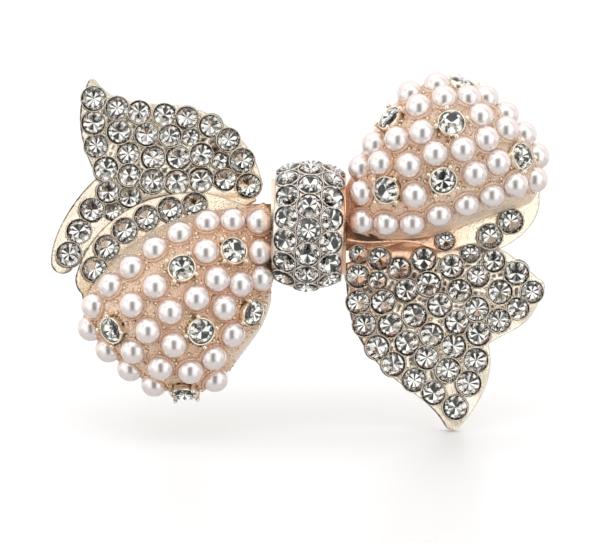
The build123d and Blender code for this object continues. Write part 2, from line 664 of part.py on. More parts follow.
def clip_arm():
    """The arm: rolled knuckle, bent strip, and the window that closes over the prongs."""
    window_z = PRONG_GAP / 2 + PRONG + WINDOW_CLEARANCE
    window_x = PRONG_WIDTH / 2 + WINDOW_CLEARANCE
    head_x = window_x + WINDOW_RIM
    arm = strip(ARM_RADIUS, ARM_MIDDLE, ARM_SHEET, ARM_WIDTH, PIN_X, LATCH_X - window_x)
    head_width = 2 * (window_z + WINDOW_RIM)
    head = strip(ARM_RADIUS, ARM_MIDDLE, ARM_SHEET, head_width, LATCH_X - head_x, LATCH_X + head_x)
    knuckle = rod(KNUCKLE, PIN_X, PIN_Y, -ARM_WIDTH / 2, ARM_WIDTH / 2)
    window = Solid.make_box(2 * window_x, ROOM, 2 * window_z).moved(Pos(LATCH_X - window_x, 0, -window_z))
    bore = rod(PIN / 2 + PIN_FIT, PIN_X, PIN_Y, -ARM_WIDTH, ARM_WIDTH)
    return largest(arm.fuse(knuckle, head).cut(window, bore))


def latch_plate():
    """The block on the base's end in which the two prongs are rooted."""
    half_x = PRONG_WIDTH / 2 + LATCH_MARGIN
    half_z = PRONG_GAP / 2 + PRONG + LATCH_MARGIN
    block = Solid.make_box(2 * half_x, LATCH_SEAT, 2 * half_z).moved(Pos(LATCH_X - half_x, 0, -half_z))
    block = largest(block & inside_head(BASE_RADIUS - BASE_SHEET, BASE_FRONT + BASE_SHEET, BASE_WIDTH))
    for side in (-1, 1):
        groove = Solid.make_cylinder(ROOT_BEAD / 2 + SEAT_GAP, 4 * half_x, Plane(
            (LATCH_X - 2 * half_x, LATCH_SEAT, side * (PRONG_GAP + PRONG) / 2), z_dir=(1, 0, 0)))
        block = block.cut(groove)
    return largest(block)


def latch_prong(side):
    """A sprung prong: root bead, blade, hook to the outside, and finger tab."""
    middle = side * (PRONG_GAP + PRONG) / 2
    start = LATCH_X - PRONG_WIDTH / 2
    hook_y = strip_y(ARM_RADIUS, ARM_MIDDLE, LATCH_X + PRONG_WIDTH / 2) + ARM_SHEET + HOOK_CLEARANCE
    foot = Plane((start, LATCH_SEAT, middle), z_dir=(1, 0, 0))
    root = Solid.make_cylinder(ROOT_BEAD / 2, PRONG_WIDTH, foot)
    blade = Solid.make_box(PRONG_WIDTH, hook_y + HOOK + TAB - LATCH_SEAT, PRONG).moved(
        Pos(start, LATCH_SEAT, middle - PRONG / 2))
    face = side * (PRONG_GAP / 2 + PRONG)
    profile = [(hook_y, face), (hook_y, face + side * HOOK), (hook_y + HOOK, face)]
    hook = Solid.extrude(Face(Wire.make_polygon([Vector(start, y, z) for y, z in profile])),
                         Vector(PRONG_WIDTH, 0, 0))
    return largest(root.fuse(blade, hook))


def leaf_place():
    """The spot on the base's back where the leaf is riveted, looking backwards."""
    x = BASE_MIDDLE - LEAF_HALF + LEAF_END
    radius = BASE_RADIUS - BASE_SHEET
    slope = math.asin((x - BASE_MIDDLE) / radius)
    point = Vector(x, strip_y(radius, BASE_FRONT + BASE_SHEET, x), 0)
    normal = Vector(-math.sin(slope), math.cos(slope), 0)
    return Plane(origin=point, x_dir=(math.cos(slope), math.sin(slope), 0), z_dir=normal).location


def tension_leaf():
    """The bowed leaf that presses the hair against the arm."""
    level = WASHER + LEAF_PLAY
    length = 2 * (LEAF_HALF - LEAF_END)
    bend_radius = 1 / (1 / (BASE_RADIUS - BASE_SHEET) + 2 * LEAF_LIFT / length ** 2)
    hub = Plane((0, LEAF_WIDTH / 2, level + bend_radius), z_dir=(0, -1, 0))
    disc = Solid.make_cylinder(bend_radius, LEAF_WIDTH, hub)
    hollow = Solid.make_cylinder(bend_radius - LEAF_SHEET, LEAF_WIDTH, hub)
    room = Solid.make_box(length + LEAF_END, LEAF_WIDTH, bend_radius)
    room = room.moved(Pos(-LEAF_END, -LEAF_WIDTH / 2, 0))
    hole = Solid.make_cylinder(RIVET / 2 + LEAF_PLAY, ROOM)
    return largest(largest(disc.cut(hollow) & room).cut(hole)).moved(leaf_place())


def leaf_rivet():
    """The rivet with the washer under the leaf and its head over it."""
    top = WASHER + 2 * LEAF_PLAY + LEAF_SHEET
    shaft = Solid.make_cylinder(RIVET / 2, top + BASE_SHEET).moved(Pos(0, 0, -BASE_SHEET))
    washer = Solid.make_cylinder(RIVET_HEAD / 2, WASHER)
    head = Solid.make_cylinder(RIVET_HEAD / 2, RIVET_CAP).moved(Pos(0, 0, top))
    return largest(shaft.fuse(washer, head).moved(leaf_place()))


def saddle():
    """The block between the knot's flat back and the curved base."""
    block = Solid.make_box(SADDLE, ROOM, BASE_WIDTH).moved(Pos(-SADDLE / 2, KNOT_BACK, -BASE_WIDTH / 2))
    return largest(block.cut(inside_head(BASE_RADIUS, BASE_FRONT, 2 * BASE_WIDTH)))


def post(side):
    """A post from a back layer to the base."""
    foot = Plane((side * POST_X, BACK_FRONT + PLATE, side * POST_Z), z_dir=(0, 1, 0))
    bar = Solid.make_cylinder(POST / 2, ROOM, foot)
    return largest(bar.cut(inside_head(BASE_RADIUS, BASE_FRONT, 4 * BASE_WIDTH)))


# ---------------------------------------------------------------- the whole clip
def build():
    """All nodes by name, in the bow's own frame."""
    nodes = {}
    left_face = pleated_front(LEFT_NECK, *LEFT_FAN)
    right_face = pleated_front(RIGHT_NECK, *RIGHT_FAN)
    upper, upper_seats = pave(left_face, LEFT_TAIL_ROWS)
    lobe, lobe_seats = pave(left_face, LEFT_LOBE_ROWS)
    nodes["left_tail"] = tail(left_face, left_tail_outline(), upper_seats + lobe_seats)
    nodes["left_tail_stones"] = group(upper)
    nodes["left_lobe_stones"] = group(lobe)
    upper, upper_seats = pave(right_face, RIGHT_TAIL_ROWS)
    lobe, lobe_seats = pave(right_face, RIGHT_LOBE_ROWS)
    nodes["right_tail"] = tail(right_face, right_tail_outline(), upper_seats + lobe_seats)
    nodes["right_tail_stones"] = group(upper)
    nodes["right_lobe_stones"] = group(lobe)
    for side, layer, rows in (("left", left_back_layer(), LEFT_BACK_ROWS),
                              ("right", right_back_layer(), RIGHT_BACK_ROWS)):
        front = min(layer.faces(), key=lambda face: face.center().Y)
        stones, seats = pave(front, rows)
        nodes[side + "_loop_back"] = largest(layer.cut(*seats))
        nodes[side + "_loop_back_stones"] = group(stones)
    for loop, rows in ((LEFT_LOOP, LEFT_LOOP_ROWS), (RIGHT_LOOP, RIGHT_LOOP_ROWS)):
        front, pearls, crystals, settings = loop_front(loop, rows)
        nodes[loop.name + "_loop_front"] = front
        nodes[loop.name + "_loop_pearls"] = group(pearls)
        nodes[loop.name + "_crystals"] = group(crystals)
        nodes[loop.name + "_crystal_settings"] = group(settings)
    nodes["knot_band"], stones = knot_band()
    nodes["knot_stones"] = group(stones)
    nodes["bow_core"] = core()
    nodes["saddle"] = saddle()
    nodes["left_post"] = post(-1)
    nodes["right_post"] = post(1)
    nodes["clip_base"] = clip_base()
    nodes["hinge_pin"] = hinge_pin()
    nodes["clip_arm"] = clip_arm()
    nodes["latch_plate"] = latch_plate()
    nodes["latch_prong_upper"] = latch_prong(1)
    nodes["latch_prong_lower"] = latch_prong(-1)
    nodes["tension_leaf"] = tension_leaf()
    nodes["leaf_rivet"] = leaf_rivet()
    return nodes


def stand(nodes):
    """The place that leans the bow back and puts the middle of its underside on the origin."""
    leaned = [node.moved(Rot(-LEAN, 0, 0)) for node in nodes.values()]
    box = Compound(children=leaned).bounding_box()
    middle = (box.min + box.max) * 0.5
    return Pos(-middle.X, -middle.Y, -box.min.Z) * Rot(-LEAN, 0, 0)


if __name__ == "__main__":
    os.makedirs("parts", exist_ok=True)
    clip = build()
    place = stand(clip)
    print("bow origin at", place.position)
    for name, shape in clip.items():
        shape = shape.moved(place)
        shape.label = name
        export_step(shape, f"parts/{name}.step")
        print(f"{name:24s} solids {len(shape.solids()):3d}  volume {shape.volume:9.2f}")
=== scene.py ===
"""Looks of the pearl and rhinestone bow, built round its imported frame.

Every length below is in millimetres, and is turned into metres where a piece is made. The row frame is
+X to the bow's right, +Y to its back and +Z up; the bow leans back by LEAN degrees.
"""

import logging
import math
from dataclasses import dataclass, replace
from enum import Enum

import bmesh
import bpy
import numpy as np
from mathutils import Matrix, Vector
from mathutils.bvhtree import BVHTree
from mathutils.kdtree import KDTree


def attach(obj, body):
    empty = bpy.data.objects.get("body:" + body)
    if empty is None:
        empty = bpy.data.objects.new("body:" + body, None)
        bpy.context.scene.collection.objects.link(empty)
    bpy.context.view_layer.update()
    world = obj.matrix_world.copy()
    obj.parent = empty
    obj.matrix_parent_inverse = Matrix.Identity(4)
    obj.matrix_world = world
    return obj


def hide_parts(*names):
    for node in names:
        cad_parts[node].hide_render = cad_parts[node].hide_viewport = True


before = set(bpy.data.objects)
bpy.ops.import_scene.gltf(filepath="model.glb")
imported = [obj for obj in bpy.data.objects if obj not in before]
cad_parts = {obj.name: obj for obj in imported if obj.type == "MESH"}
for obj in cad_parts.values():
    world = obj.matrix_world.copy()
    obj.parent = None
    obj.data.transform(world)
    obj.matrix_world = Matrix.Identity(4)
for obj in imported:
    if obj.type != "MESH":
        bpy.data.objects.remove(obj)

logging.basicConfig(level=logging.INFO, format="%(levelname)s %(message)s")
log = logging.getLogger("bow")

Socket = bpy.types.NodeSocket
Pair = tuple[float, float]
Colour = tuple[float, float, float, float]
Profile = tuple[tuple[float, float, float], ...]

MM = 0.001
WELD = 1e-7                 # corners nearer than this are one, in metres
UNIT_WELD = 1e-5            # the same, on a form whose radius is 1
LEAN = 10.0
UP = Vector((0.0, math.sin(math.radians(LEAN)), math.cos(math.radians(LEAN))))
BACK = Vector((0.0, math.cos(math.radians(LEAN)), -math.sin(math.radians(LEAN))))
RIGHT = Vector((1.0, 0.0, 0.0))

IMAGE_WIDTH = 600
IMAGE_HEIGHT = 543
MM_PER_PIXEL = 0.14
KNOT_PIXEL = (308.5, 227.0)
CAMERA_DISTANCE = 800.0
KNOT_CENTRE = (1.27407, -1.83409, 28.7226)

SIDES = ("left", "right")


class Finish(Enum):
    """Names of the record's material slots."""

    CASTING = "rose_gold_casting"
    STONE = "rhinestone"
    PEARL = "pearl"


class Kind(Enum):
    """Kinds of set pieces that a node can hold."""

    STONE = "stone"
    PEARL = "pearl"
    CRYSTAL = "crystal"


# ------------------------------------------------------------------ places read from the frame
GIRDLE_SHARE = 0.98         # corners past this share of the widest radius lie on a girdle
UPRIGHT = 1e-3              # a side shorter than this has no direction
TOUCH = 0.02                # least gap between two swollen stones


@dataclass(frozen=True)
class Spot:
    """Place of one set piece, in metres.

    Attributes:
        centre: middle of its girdle.
        axis: its outward axis.
        side: one side, square to the axis.
        radius: its radius.
    """

    centre: Vector
    axis: Vector
    side: Vector
    radius: float

    def matrix(self, turn: float = 0.0) -> Matrix:
        """Place of a unit piece here.

        Args:
            turn: extra turn about the axis, in radians.

        Returns:
            The matrix from unit coordinates to the row frame.
        """
        x = (self.side * math.cos(turn) + self.axis.cross(self.side) * math.sin(turn)).normalized()
        y = self.axis.cross(x)
        grid = Matrix((x, y, self.axis)).transposed().to_4x4()
        return Matrix.Translation(self.centre) @ grid @ even_scale(self.radius)


def even_scale(size: float) -> Matrix:
    """A scaling that is the same along all axes."""
    return Matrix.Diagonal((size, size, size, 1.0))


@dataclass(frozen=True)
class SpotReader:
    """Finds the places of the loose parts of a CAD node.

    Attributes:
        node: the node's name.
    """

    node: str

    def islands(self) -> list[np.ndarray]:
        """Corner points of each loose part.

        Returns:
            A list of (count, 3) arrays, in metres.
        """
        bm = bmesh.new()
        bm.from_mesh(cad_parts[self.node].data)
        bmesh.ops.remove_doubles(bm, verts=bm.verts, dist=WELD)
        seen = set()
        found = []
        for start in bm.verts:
            if start.index in seen:
                continue
            seen.add(start.index)
            stack = [start]
            part = []
            while stack:
                vert = stack.pop()
                part.append(tuple(vert.co))
                for edge in vert.link_edges:
                    other = edge.other_vert(vert)
                    if other.index not in seen:
                        seen.add(other.index)
                        stack.append(other)
            found.append(np.array(part))
        bm.free()
        return found

    def spots(self, kind: Kind) -> list[Spot]:
        """Places of all loose parts.

        Args:
            kind: what the node holds, which tells a part's front from its back.

        Returns:
            The spots, in the node's order.
        """
        spots = []
        for points in self.islands():
            middle = points.mean(axis=0)
            values, vectors = np.linalg.eigh(np.cov((points - middle).T))
            apart = [abs(values[1] - values[2]), abs(values[0] - values[2]), abs(values[0] - values[1])]
            axis = vectors[:, int(np.argmin(apart))]
            heights = (points - middle) @ axis
            radii = np.linalg.norm((points - middle) - np.outer(heights, axis), axis=1)
            girdle = float(heights[radii > radii.max() * GIRDLE_SHARE].mean())
            above = heights.max() - girdle
            below = girdle - heights.min()
            upside_down = above < below if kind is Kind.PEARL else above > below
            if upside_down:
                axis = -axis
                girdle = -girdle
            centre = Vector(middle + axis * girdle)
            normal = Vector(axis).normalized()
            side = UP.cross(normal)
            side = RIGHT.copy() if side.length < UPRIGHT else side.normalized()
            spots.append(Spot(centre, normal, side, float(radii.max())))
        log.info("%s: %d places", self.node, len(spots))
        return spots


def swollen(spots: list[Spot], swell: float) -> list[Spot]:
    """Spots grown up to a share of their size, as far as their neighbours let them.

    Args:
        spots: the spots of one node.
        swell: the largest share.

    Returns:
        The grown spots.
    """
    grown = []
    for spot in spots:
        room = swell
        for other in spots:
            if other is not spot:
                gap = (other.centre - spot.centre).length - spot.radius - other.radius - TOUCH * MM
                room = min(room, 1.0 + max(gap, 0.0) / 2 / spot.radius)
        grown.append(replace(spot, radius=spot.radius * room))
    return grown


# ------------------------------------------------------------------ shader building blocks
MIX_INPUTS = (0, 6, 7)      # factor and colours of a Mix node on colours
MIX_RESULT = 2              # its colour output


@dataclass(frozen=True)
class NodeTree:
    """A thin, typed layer over one node tree.

    Attributes:
        tree: the tree.
    """

    tree: bpy.types.NodeTree

    def add(self, kind: str, **values: object) -> bpy.types.Node:
        """Adds a node and sets its properties and inputs.

        Args:
            kind: the node's type name.
            values: properties by their own name, and inputs by theirs with spaces as underscores.

        Returns:
            The new node.
        """
        node = self.tree.nodes.new(kind)
        for key, value in values.items():
            if hasattr(node, key):
                setattr(node, key, value)
            else:
                node.inputs[key.replace("_", " ")].default_value = value
        return node

    def feed(self, value: object, target: Socket) -> None:
        """Joins an output to an input, or sets the input.

        Args:
            value: another node's output, a number or a colour.
            target: the input.
        """
        if isinstance(value, Socket):
            self.tree.links.new(value, target)
        else:
            target.default_value = value

    def math(self, operation: str, first: object, second: object = 0.0, third: object = 0.0) -> Socket:
        """A Math node on sockets or numbers.

        Args:
            operation: the Math node's operation.
            first: its first input, a socket or a number.
            second: its second input.
            third: its third input.

        Returns:
            Its output socket.
        """
        node = self.add("ShaderNodeMath", operation=operation)
        for socket, value in zip(node.inputs, (first, second, third)):
            self.feed(value, socket)
        return node.outputs[0]

    def mix(self, factor: object, first: object, second: object) -> Socket:
        """A colour mix.

        Args:
            factor: socket or number, 0 for the first colour.
            first: socket or colour.
            second: socket or colour.

        Returns:
            The mixed colour's socket.
        """
        node = self.add("ShaderNodeMix", data_type="RGBA")
        for index, value in zip(MIX_INPUTS, (factor, first, second)):
            self.feed(value, node.inputs[index])
        return node.outputs[MIX_RESULT]

    def ramp(self, value: Socket, span: tuple, ends: tuple = (0.0, 1.0), soft: bool = True) -> Socket:
        """A ramp from one level to another.

        Args:
            value: what it follows.
            span: the values at which it starts and stops.
            ends: its levels there, as numbers or sockets.
            soft: whether it eases in and out.

        Returns:
            Its output socket.
        """
        node = self.add("ShaderNodeMapRange", interpolation_type="SMOOTHSTEP" if soft else "LINEAR")
        for name, item in zip(("Value", "From Min", "From Max", "To Min", "To Max"), (value, *span, *ends)):
            self.feed(item, node.inputs[name])
        return node.outputs["Result"]

    def group(self, tree: bpy.types.NodeTree, **values: float) -> bpy.types.Node:
        """Adds a shared group.

        Args:
            tree: the group.
            values: its inputs by name.

        Returns:
            The group's node.
        """
        node = self.tree.nodes.new("ShaderNodeGroup")
        node.node_tree = tree
        for key, value in values.items():
            node.inputs[key].default_value = value
        return node

    def attribute(self, name: str) -> Socket:
        """The value of a mesh's attribute."""
        return self.add("ShaderNodeAttribute", attribute_name=name).outputs["Fac"]


def rgba(red: float, green: float, blue: float) -> Colour:
    """A colour with full alpha."""
    return (red, green, blue, 1.0)


def grey(level: float) -> Colour:
    """A grey of one level."""
    return rgba(level, level, level)


class SharedGroups:
    """Node groups that several materials share."""

    CELLS = 1.3             # pits per grain
    PIT_EDGE = (0.12, 0.30)
    PIT_DEPTH = 0.4
    CLOUD_EDGE = (0.35, 0.65)

    def __init__(self) -> None:
        """Builds both groups."""
        self.grain = self._grain()
        self.fine_wear = self._fine_wear()

    def _start(self, name: str, inputs: tuple, outputs: tuple) -> tuple:
        """Starts a group of float sockets.

        Args:
            name: the group's name.
            inputs: the names of its inputs.
            outputs: the names of its outputs.

        Returns:
            Its nodes, the node of its inputs, the node of its outputs and its place on the object.
        """
        group = bpy.data.node_groups.new(name, "ShaderNodeTree")
        for way, sockets in (("INPUT", inputs), ("OUTPUT", outputs)):
            for socket in sockets:
                group.interface.new_socket(socket, in_out=way, socket_type="NodeSocketFloat")
        kit = NodeTree(group)
        place = kit.add("ShaderNodeTexCoord").outputs["Object"]
        return kit, kit.add("NodeGroupInput"), kit.add("NodeGroupOutput"), place

    def _grain(self) -> bpy.types.NodeTree:
        """Cast grain: a height with fine pits, in metres, and a mask of the pits, where the metals paint
        shade.

        Returns:
            The group.
        """
        kit, source, target, place = self._start("cast_grain", ("Scale", "Strength"), ("Height", "Pits"))
        coarse = kit.add("ShaderNodeTexNoise", Detail=3.0, Roughness=0.6)
        cells = kit.add("ShaderNodeTexVoronoi", feature="F1")
        for texture, share in ((coarse, 1.0), (cells, self.CELLS)):
            kit.feed(place, texture.inputs["Vector"])
            kit.feed(kit.math("MULTIPLY", source.outputs["Scale"], share), texture.inputs["Scale"])
        pits = kit.ramp(cells.outputs["Distance"], self.PIT_EDGE, (1.0, 0.0), soft=False)
        height = kit.math("SUBTRACT", coarse.outputs["Fac"], kit.math("MULTIPLY", pits, self.PIT_DEPTH))
        kit.feed(kit.math("MULTIPLY", height, source.outputs["Strength"]), target.inputs["Height"])
        kit.feed(pits, target.inputs["Pits"])
        return kit.tree

    def _fine_wear(self) -> bpy.types.NodeTree:
        """Soft cloudy variation, for roughness and colour.

        Returns:
            The group.
        """
        kit, source, target, place = self._start("fine_wear", ("Scale", "Low", "High"), ("Value",))
        cloud = kit.add("ShaderNodeTexNoise", Detail=4.0, Roughness=0.55)
        kit.feed(place, cloud.inputs["Vector"])
        kit.feed(source.outputs["Scale"], cloud.inputs["Scale"])
        ends = (source.outputs["Low"], source.outputs["High"])
        kit.feed(kit.ramp(cloud.outputs["Fac"], self.CLOUD_EDGE, ends, soft=False), target.inputs["Value"])
        return kit.tree


# ------------------------------------------------------------------ finishes
@dataclass(frozen=True)
class MetalLook:
    """Colours and textures of one metal.

    Attributes:
        pale: colour far from the knot and on polished parts.
        rose: colour near the knot.
        deep: colour of the painted shade in recesses, pits and along edges.
        lip: colour away from the stones and pearls, on the polished margins; partly the metal's own polished
            tone, partly painted highlight.
        turn_pale: distance from the knot in mm over which rose turns pale, as (from, to).
        rough: roughness, as (low, high).
        grain: height of the cast grain, in mm.
        grain_scale: its cells per metre.
        pit_shade: how dark the painted shade in the grain's pits near the seats is.
        slope: how far the surface leans (to the right, upwards), as a rise per length.
        copper: how strong the copper tone round the right neck is.
        metallic: share of mirror-like metal; the rest is matt.
    """

    pale: Colour
    rose: Colour
    deep: Colour
    lip: Colour
    turn_pale: Pair
    rough: Pair
    grain: float
    grain_scale: float = 2600.0
    pit_shade: float = 0.0
    slope: Pair = (0.0, 0.0)
    copper: float = 0.0
    metallic: float = 1.0


ONE_TONE = (0.0, 60.0)
TONE_SCALE = 420.0          # clouds of colour per metre
TONE_SHARE = 0.35           # how much of the rose tone they bring back
ROUGH_SCALE = 900.0         # clouds of roughness per metre
LIP_POLISH = 0.4            # how much less rough the metal is away from its seats


def one_tone(tone: Colour, **values: object) -> MetalLook:
    """A metal of one colour.

    Args:
        tone: the colour.
        values: the look's other fields.

    Returns:
        The look.
    """
    return MetalLook(pale=tone, rose=tone, lip=tone, turn_pale=ONE_TONE, **values)


TAIL = MetalLook(
    pale=rgba(0.98, 0.90, 0.76), rose=rgba(0.96, 0.80, 0.63), deep=rgba(0.07, 0.045, 0.03),
    lip=rgba(0.93, 0.81, 0.65), turn_pale=(6.0, 15.0), rough=(0.16, 0.28), grain=0.05, pit_shade=0.8,
    slope=(0.44, 0.22), copper=0.9, metallic=0.9)
DOME = MetalLook(
    pale=rgba(0.98, 0.74, 0.57), rose=rgba(0.96, 0.63, 0.45), deep=rgba(0.46, 0.19, 0.09),
    lip=rgba(1.00, 0.81, 0.63), turn_pale=(6.0, 26.0), rough=(0.22, 0.34), grain=0.28,
    grain_scale=3000.0, pit_shade=0.4, slope=(0.30, 0.26), copper=0.9, metallic=0.65)
# Painted highlight: the grains' metal is a lighter copy of the castings' metal.
GRAIN = MetalLook(
    pale=rgba(1.00, 0.88, 0.68), rose=rgba(1.00, 0.80, 0.58), deep=rgba(0.24, 0.11, 0.05),
    lip=rgba(1.00, 0.88, 0.68), turn_pale=(7.0, 16.0), rough=(0.18, 0.26), grain=0.0,
    slope=(0.42, 0.42), metallic=0.8)
METALS = {
    "left_tail_metal": TAIL,
    # Painted light: the right tail's metal is a lighter copy of the tail metal.
    "right_tail_metal": replace(
        TAIL, pale=rgba(1.00, 0.905, 0.77), lip=rgba(0.96, 0.83, 0.67), metallic=0.82),
    "back_metal": replace(
        TAIL, pale=rgba(0.96, 0.83, 0.67), rose=rgba(0.94, 0.72, 0.53), lip=rgba(0.92, 0.79, 0.62),
        turn_pale=(8.0, 20.0), slope=(0.44, 0.24), metallic=0.85),
    "left_dome_metal": DOME,
    # Painted light: the right dome's metal is a lighter copy of the left dome's, with lighter shade in its
    # pits.
    "right_dome_metal": replace(
        DOME, pale=rgba(1.00, 0.82, 0.67), rose=rgba(0.99, 0.71, 0.53), deep=rgba(0.60, 0.29, 0.16),
        pit_shade=0.3),
    "knot_metal": replace(
        TAIL, pale=rgba(0.97, 0.89, 0.80), rose=rgba(0.97, 0.89, 0.80), deep=rgba(0.08, 0.055, 0.04),
        lip=rgba(0.94, 0.84, 0.72), turn_pale=ONE_TONE, slope=(0.0, 0.0)),
    "core_metal": one_tone(
        rgba(0.94, 0.76, 0.60), deep=rgba(0.4, 0.2, 0.12), rough=(0.18, 0.32), grain=0.05, copper=1.0),
    "grain_metal": GRAIN,
    # Painted highlight: the claws and crystal cups take a lighter copy of the castings' metal as well.
    "setting_metal": replace(
        GRAIN, pale=rgba(1.00, 0.92, 0.78), rose=rgba(0.99, 0.84, 0.68), deep=rgba(0.14, 0.07, 0.04),
        lip=rgba(1.00, 0.90, 0.76), slope=(0.30, 0.34), metallic=1.0),
    "clip_metal": one_tone(
        rgba(0.88, 0.70, 0.56), deep=rgba(0.4, 0.25, 0.18), rough=(0.18, 0.34), grain=0.006),
    "spring_metal": one_tone(
        rgba(0.66, 0.66, 0.67), deep=rgba(0.3, 0.3, 0.3), rough=(0.22, 0.38), grain=0.006),
}


@dataclass(frozen=True)
class CopperPatch:
    """Where the colour turns copper round the right neck, in mm.

    Attributes:
        centre: its (x, z) middle.
        reach: its half width and half height.
    """

    centre: Pair
    reach: Pair


COPPER = rgba(0.98, 0.62, 0.42)
COPPER_PATCHES = (
    CopperPatch(centre=(9.0, 27.2), reach=(14.5, 4.4)),
    CopperPatch(centre=(6.6, 29.6), reach=(2.6, 8.0)),
)
COPPER_EDGE = (0.5, 1.3)    # squared share of a patch's reach over which it fades
COPPER_START = (5.5, 6.0)   # x over which the copper sets in


@dataclass(frozen=True)
class SmoothLook:
    """A smooth finish whose colour drifts softly between two tones, with a painted reflection of the metal
    round it at its edge, where one is given.

    Attributes:
        tones: the two tones.
        scale: clouds per metre.
        values: the shader's own inputs, by name.
        share: how far the clouds reach the second tone.
        rim_reflection: colour where the surface turns away, a painted reflection of the peach metal round
            it, or None.
        glow: level that the camera alone sees.
    """

    tones: tuple[Colour, Colour]
    scale: float
    values: dict[str, float]
    share: float = 1.0
    rim_reflection: Colour | None = None
    glow: float = 0.0


# Blend of the painted reflection at the edge.
RIM_REFLECTION_BLEND = 0.35
GLASS = SmoothLook(tones=(rgba(0.97, 0.97, 0.95), rgba(1.0, 0.995, 0.98)), scale=600.0,
                   values={"Roughness": 0.0, "IOR": 1.56, "Transmission Weight": 1.0})
FOIL = SmoothLook(tones=(rgba(0.84, 0.82, 0.79), rgba(0.92, 0.91, 0.88)), scale=900.0,
                  values={"Roughness": 0.02, "Metallic": 1.0})
# The pearls' peach edge colour is a painted reflection of the metal round them.
PEARL = SmoothLook(tones=(rgba(0.95, 0.905, 0.895), rgba(0.965, 0.92, 0.885)), scale=500.0,
                   values={"Roughness": 0.24, "Metallic": 0.7, "Coat Weight": 0.7, "Coat Roughness": 0.12,
                           "Coat IOR": 1.6},
                   share=0.5, rim_reflection=rgba(0.88, 0.66, 0.58))
TABLE = SmoothLook(tones=(grey(0.97), grey(0.98)), scale=8.0,
                   values={"Roughness": 0.30, "Specular IOR Level": 0.3, "Emission Strength": 1.0},
                   glow=0.07)


